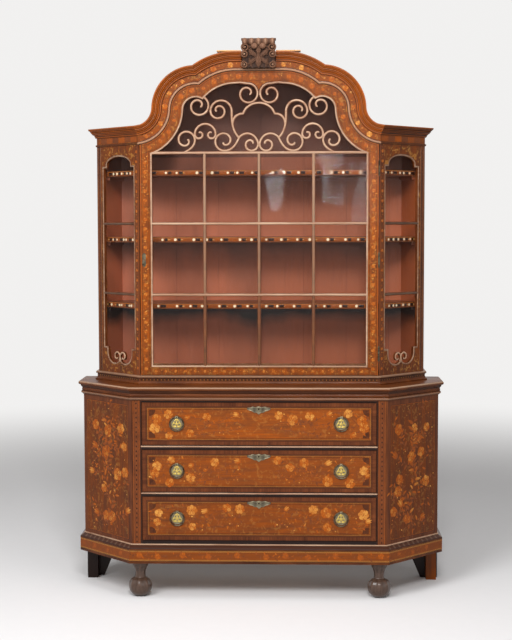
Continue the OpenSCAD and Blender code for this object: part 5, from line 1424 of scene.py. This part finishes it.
class CABINET_OT_brasses(bpy.types.Operator):
    """Cast the drawers' plates, key plates and lock cases"""
    bl_idname = "cabinet.brasses"
    bl_label = "Drawer brasses"

    def execute(self, context):
        for level in LEVELS:
            low, high = span("drawer_front_" + level)
            shape = Shape()
            for side in (-1, 1):
                self.pull(shape, side * mm("ring_x"), (low[2] + high[2]) / 2)
            self.key_plate(shape, high[2] - 26)
            self.lock(shape, high[2], *span("drawer_bolt_" + level))
            shape.piece("brasses_" + level, "drawer_" + level, "aged_brass", "worn_brass",
                        ["drawer_brasses_" + level], 40.0)
        return {"FINISHED"}

    def pull(self, shape, x, z):
        """Round plate with a turned rim, a three-cornered boss with knobs and dots, and the two cheeks and
        the pin that hold the ring."""
        turn = round_turn(64)
        rim = moulded((25, -0.5), (25, 1.2), (24, 2.4, 0.2), (22.5, 2.4), (21.5, 1.5), (1, 1.5), (0.05, 1.5))
        radius, lift = rim.T[:, :, None]
        shape.grid(FRONT.put(x + radius * np.cos(turn), z + radius * np.sin(turn), lift),
                   np.where(radius > 21, 0.42, 0.16), wrap=True, flip=True)
        ring = np.array([1.0, 0.97, 0.86, 0.7, 0.62, 0.5, 0.3, 0.2, 0.1, 0.02])[:, None]
        lift = np.array([0.0, 1.6, 2.5, 2.9, 2.2, 2.0, 2.0, 3.0, 3.4, 3.5])[:, None]
        corner = 22 * (0.86 + 0.14 * np.cos(3 * (turn - math.pi / 2)))
        reach = ring * corner * (1 + 0.03 * np.cos(18 * turn) * (ring > 0.8))
        gap = (np.cos(5 * (turn - math.pi / 2)) < -0.35) & (np.abs(ring - 0.55) < 0.28)
        shape.grid(FRONT.put(x + reach * np.cos(turn), z + reach * np.sin(turn), 1.2 + lift),
                   np.where(gap, 0.34, 0.86) + 0.1 * (lift > 2.8), wrap=True, flip=True)
        for spots, radius, *dot in ((math.pi / 2 + round_turn(3), 15.5, 3.2, 1.0, 26.0, 12),
                                    (round_turn(9), 9.5, 1.5, 0.95, 22.0, 8)):
            shape.discs(FRONT, x + radius * np.cos(spots), z + radius * np.sin(spots), *dot)
        cheek = moulded((0, 0), (6.8, 0), (8.6, 6, 0.3), (6.8, 12, 0.3), (0, 12))
        for offset in (-3.5, 3.5):
            faces = x + np.array([[offset - 1.2], [offset + 1.2]])
            shape.grid(grid_points(faces, -cheek[:, 0], z + 22.5 + cheek[:, 1]), 0.4, wrap=True, caps=True,
                       flip=True)
        turn = round_turn(12)
        shape.grid(grid_points(x + np.array([[-4.5], [4.5]]), -7.5 + 1.2 * np.cos(turn),
                               z + 31.8 + 1.2 * np.sin(turn)), 0.6, wrap=True, caps=True)

    def key_plate(self, shape, z):
        """A winged plate: each edge is a wave whose height falls off towards the tips, with a lobe below,
        raised in the middle, with a keyhole whose dark inside is a black disc of painted shade."""
        u = np.cos(np.linspace(math.pi, 0, 61))
        wing = 10.5 * (0.12 + 0.88 * (1 - u ** 2) ** 0.4 * (0.86 + 0.14 * np.cos(4 * math.pi * u)))
        lower = -1.5 - 22 * (1 - np.abs(u)) ** 0.85 * (0.92 + 0.08 * np.cos(5 * math.pi * u))
        share = np.array([0.0, 0.02, 0.12, 0.2, 0.3, 0.5, 0.7, 0.8, 0.88, 0.98, 1.0])[:, None]
        lift = np.array([-0.4, 1.4, 2.3, 1.7, 1.5, 2.0, 1.5, 1.7, 2.3, 1.4, -0.4])[:, None]
        wave = np.cos(3 * math.pi * u)
        swell = 1 + 0.25 * wave * (np.abs(u) < 0.98)
        shape.grid(FRONT.put(u * 49, z + lower + (wing - lower) * share, lift * swell),
                   0.26 + 0.16 * (lift > 2.1) + 0.1 * wave, flip=True)
        turn = round_turn(40)
        hole = 3.9 * np.stack([np.cos(turn), np.sin(turn)], -1)
        hole[:, 1] -= 8 * np.clip(-np.sin(turn) - 0.55, 0, 1) * 2.2
        hole[:, 0] *= np.where(hole[:, 1] < -3.2, 0.62, 1.0)
        shape.bar(FRONT, hole + (0, z), round_section(1.6, 1.4), 0.5, True, 1.6)
        # Painted shade: a black disc across the keyhole stands for the dark inside of the hole.
        flat = hole * np.array([1.0, 0.5, 0.02])[:, None, None]
        shape.grid(FRONT.put(flat[..., 0], z + flat[..., 1], 2.3), -0.6, wrap=True, flip=True)

    def lock(self, shape, top, bolt_low, bolt_high):
        """The lock's case behind the drawer front: an outline with its corners cut, carried through rings in
        depth. Between the bolt's two faces the outline dips round the bolt, which leaves its pocket."""
        wide, high, near, far, cut, play = 32.0, 46.0, 11.0, 22.0, 1.5, 0.6
        middle, half = (bolt_low[0] + bolt_high[0]) / 2, (bolt_high[0] - bolt_low[0]) / 2 + play
        floor = bolt_low[2] - top - 1.0
        plain = [(half, 0), (half * 0.96, 0), (-half * 0.96, 0), (-half, 0)]
        pocket = [(half, 0), (half, floor), (-half, floor), (-half, 0)]
        front, back = bolt_low[1] - play, bolt_high[1] + play
        rings = []
        for y, mouth in ((far, plain), (back, plain), (back, pocket), (front, pocket), (front, plain),
                         (near, plain)):
            outline = np.array([(-wide + cut, -high), (wide - cut, -high), (wide, -high + cut), (wide, -cut),
                                (wide - cut, 0), *((middle + s, t) for s, t in mouth),
                                (-wide + cut, 0), (-wide, -cut), (-wide, -high + cut)])
            rings.append(grid_points(outline[:, 0], y, top + outline[:, 1]))
        shape.grid(np.stack(rings), 0.1, wrap=True, caps=True)


class CABINET_OT_stage(bpy.types.Operator):
    """Set the floor, the backdrop, the lamps and the camera"""
    bl_idname = "cabinet.stage"
    bl_label = "Stage"

    def execute(self, context):
        far = 30.0
        mesh = bpy.data.meshes.new("studio_floor")
        mesh.from_pydata([(-far, -far, 0), (far, -far, 0), (far, far, 0), (-far, far, 0)], [], [(0, 1, 2, 3)])
        mesh.materials.append(self.paper())
        ground = placed("studio_floor", mesh)
        self.lamps()
        self.air(context.scene)
        self.camera(context.scene)
        return {"FINISHED"}

    def paper(self):
        """Pale paper near the cabinet; between 2.6 and 6.6 m off, it fades to the background's tone."""
        finish = Finish("studio_paper")
        x, y, _ = finish.axes()
        fade = (((x * x + y * y) ** 0.5 - 2600.0) * 0.00025).bounded()
        fade = fade * fade * (3.0 - fade * 2.0)
        base = finish.mix(finish.noise(20.0, 2.0) * 0.06, "floor", (0.5, 0.5, 0.5, 1.0))
        near = finish.add("ShaderNodeBsdfPrincipled", {}, {"Base Color": base, "Roughness": 0.8,
                                                           "Specular IOR Level": 0.2})
        glow = finish.add("ShaderNodeEmission", {}, {"Color": BACKGROUND, "Strength": 1.0})
        both = finish.add("ShaderNodeMixShader", {}, {0: fade * finish.seen(), 1: near, 2: glow})
        finish.add("ShaderNodeOutputMaterial", {}, {"Surface": both})
        return finish.material

    def lamps(self):
        """Large soft lamps: the main one high on the left, one beside the camera, a weak one on the right
        and one overhead. Three narrow strips stand where the glass shows windows."""
        for name, place, aim, size, power in (
                ("main_lamp", (-2.6, -4.3, 4.0), (0.0, 0.0, 1.1), 2.4, 205.0),
                ("front_lamp", (0.4, -4.8, 4.1), (0.0, 0.0, 1.2), 1.1, 152.0),
                ("side_lamp", (3.4, -3.8, 2.2), (0.0, 0.0, 1.1), 2.2, 18.0),
                ("top_lamp", (0.0, -1.2, 4.4), (0.0, 0.1, 1.0), 2.6, 60.0)):
            self.lamp(name, place, Vector(aim) - Vector(place), size, size, power)
        for name, x, z, wide, high, power in (
                ("left_strip", 0.0, 1.83, 0.1, 0.34, 8.0), ("middle_strip", 0.44, 1.95, 0.11, 0.4, 9.0),
                ("right_strip", 0.68, 1.82, 0.12, 0.5, 8.0)):
            self.lamp(name, (x, -6.0, z), (-math.sin(0.1), math.cos(0.1), 0.0), wide, high, power)

    def lamp(self, name, place, ahead, wide, high, power):
        """An area lamp of that size in metres and power in watts, which shines ahead."""
        lamp = bpy.data.lights.new(name, "AREA")
        lamp.shape, lamp.size, lamp.size_y, lamp.energy = "RECTANGLE", wide, high, power
        made = placed(name, lamp)
        made.location = place
        made.rotation_euler = Vector(ahead).to_track_quat("-Z", "Y").to_euler()

    def air(self, scene):
        """Weak warm light from all sides, and the background's tone where the camera looks past."""
        air = Finish("studio_air", "worlds")
        soft = air.add("ShaderNodeBackground", {}, {"Color": (1.0, 0.975, 0.94, 1.0), "Strength": 0.17})
        plain = air.add("ShaderNodeBackground", {}, {"Color": BACKGROUND, "Strength": 1.0})
        both = air.add("ShaderNodeMixShader", {}, {0: air.seen(), 1: soft, 2: plain})
        air.add("ShaderNodeOutputWorld", {}, {"Surface": both})
        scene.world = air.material
        scene.view_settings.view_transform = "Standard"

    def camera(self, scene):
        """The photograph's view: the camera looks along a yaw and a pitch, rolled a little."""
        yaw, pitch, roll, focal, width, sensor = 0.0323, 0.0697, -0.0019, 1370.8, 512.0, 36.0
        level = math.cos(pitch)
        ahead = Vector((-math.sin(yaw) * level, math.cos(yaw) * level, -math.sin(pitch)))
        right = Vector((math.cos(yaw), math.sin(yaw), 0.0))
        up = right.cross(ahead)
        right, up = (math.cos(roll) * right + math.sin(roll) * up,
                     math.cos(roll) * up - math.sin(roll) * right)
        lens = bpy.data.cameras.new("photo_view")
        lens.sensor_fit, lens.sensor_width, lens.lens = "HORIZONTAL", sensor, focal * sensor / width
        made = placed("photo_view", lens)
        turn = Matrix((right, up, -ahead)).transposed()
        made.matrix_world = Matrix.Translation((0.1707, -5.8061, 1.5581)) @ turn.to_4x4()
        scene.camera = made


OPERATORS = (CABINET_OT_frame, CABINET_OT_mouldings, CABINET_OT_cornice, CABINET_OT_drawer_inlay,
             CABINET_OT_panel_inlay, CABINET_OT_case_inlay, CABINET_OT_door_inlay, CABINET_OT_shelf_edges,
             CABINET_OT_feet, CABINET_OT_crest, CABINET_OT_brasses, CABINET_OT_stage)


class CABINET_PT_panel(bpy.types.Panel):
    bl_label = "China cabinet"
    bl_idname = "CABINET_PT_panel"
    bl_space_type = "VIEW_3D"
    bl_region_type = "UI"
    bl_category = "Cabinet"

    def draw(self, context):
        for group in (context.scene.cabinet_sizes, context.scene.cabinet_colours):
            box = self.layout.box()
            for name in group.__annotations__:
                box.prop(group, name)
        for operator in OPERATORS:
            self.layout.operator(operator.bl_idname)


CLASSES = (CabinetSizes, CabinetColours, *OPERATORS, CABINET_PT_panel)


def register():
    for item in CLASSES:
        bpy.utils.register_class(item)
    bpy.types.Scene.cabinet_sizes = bpy.props.PointerProperty(type=CabinetSizes)
    bpy.types.Scene.cabinet_colours = bpy.props.PointerProperty(type=CabinetColours)


def unregister():
    del bpy.types.Scene.cabinet_sizes, bpy.types.Scene.cabinet_colours
    for item in reversed(CLASSES):
        bpy.utils.unregister_class(item)


def main():
    register()
    for operator in OPERATORS:
        getattr(bpy.ops.cabinet, operator.bl_idname.split(".")[1])()


if __name__ == "__main__":
    main()
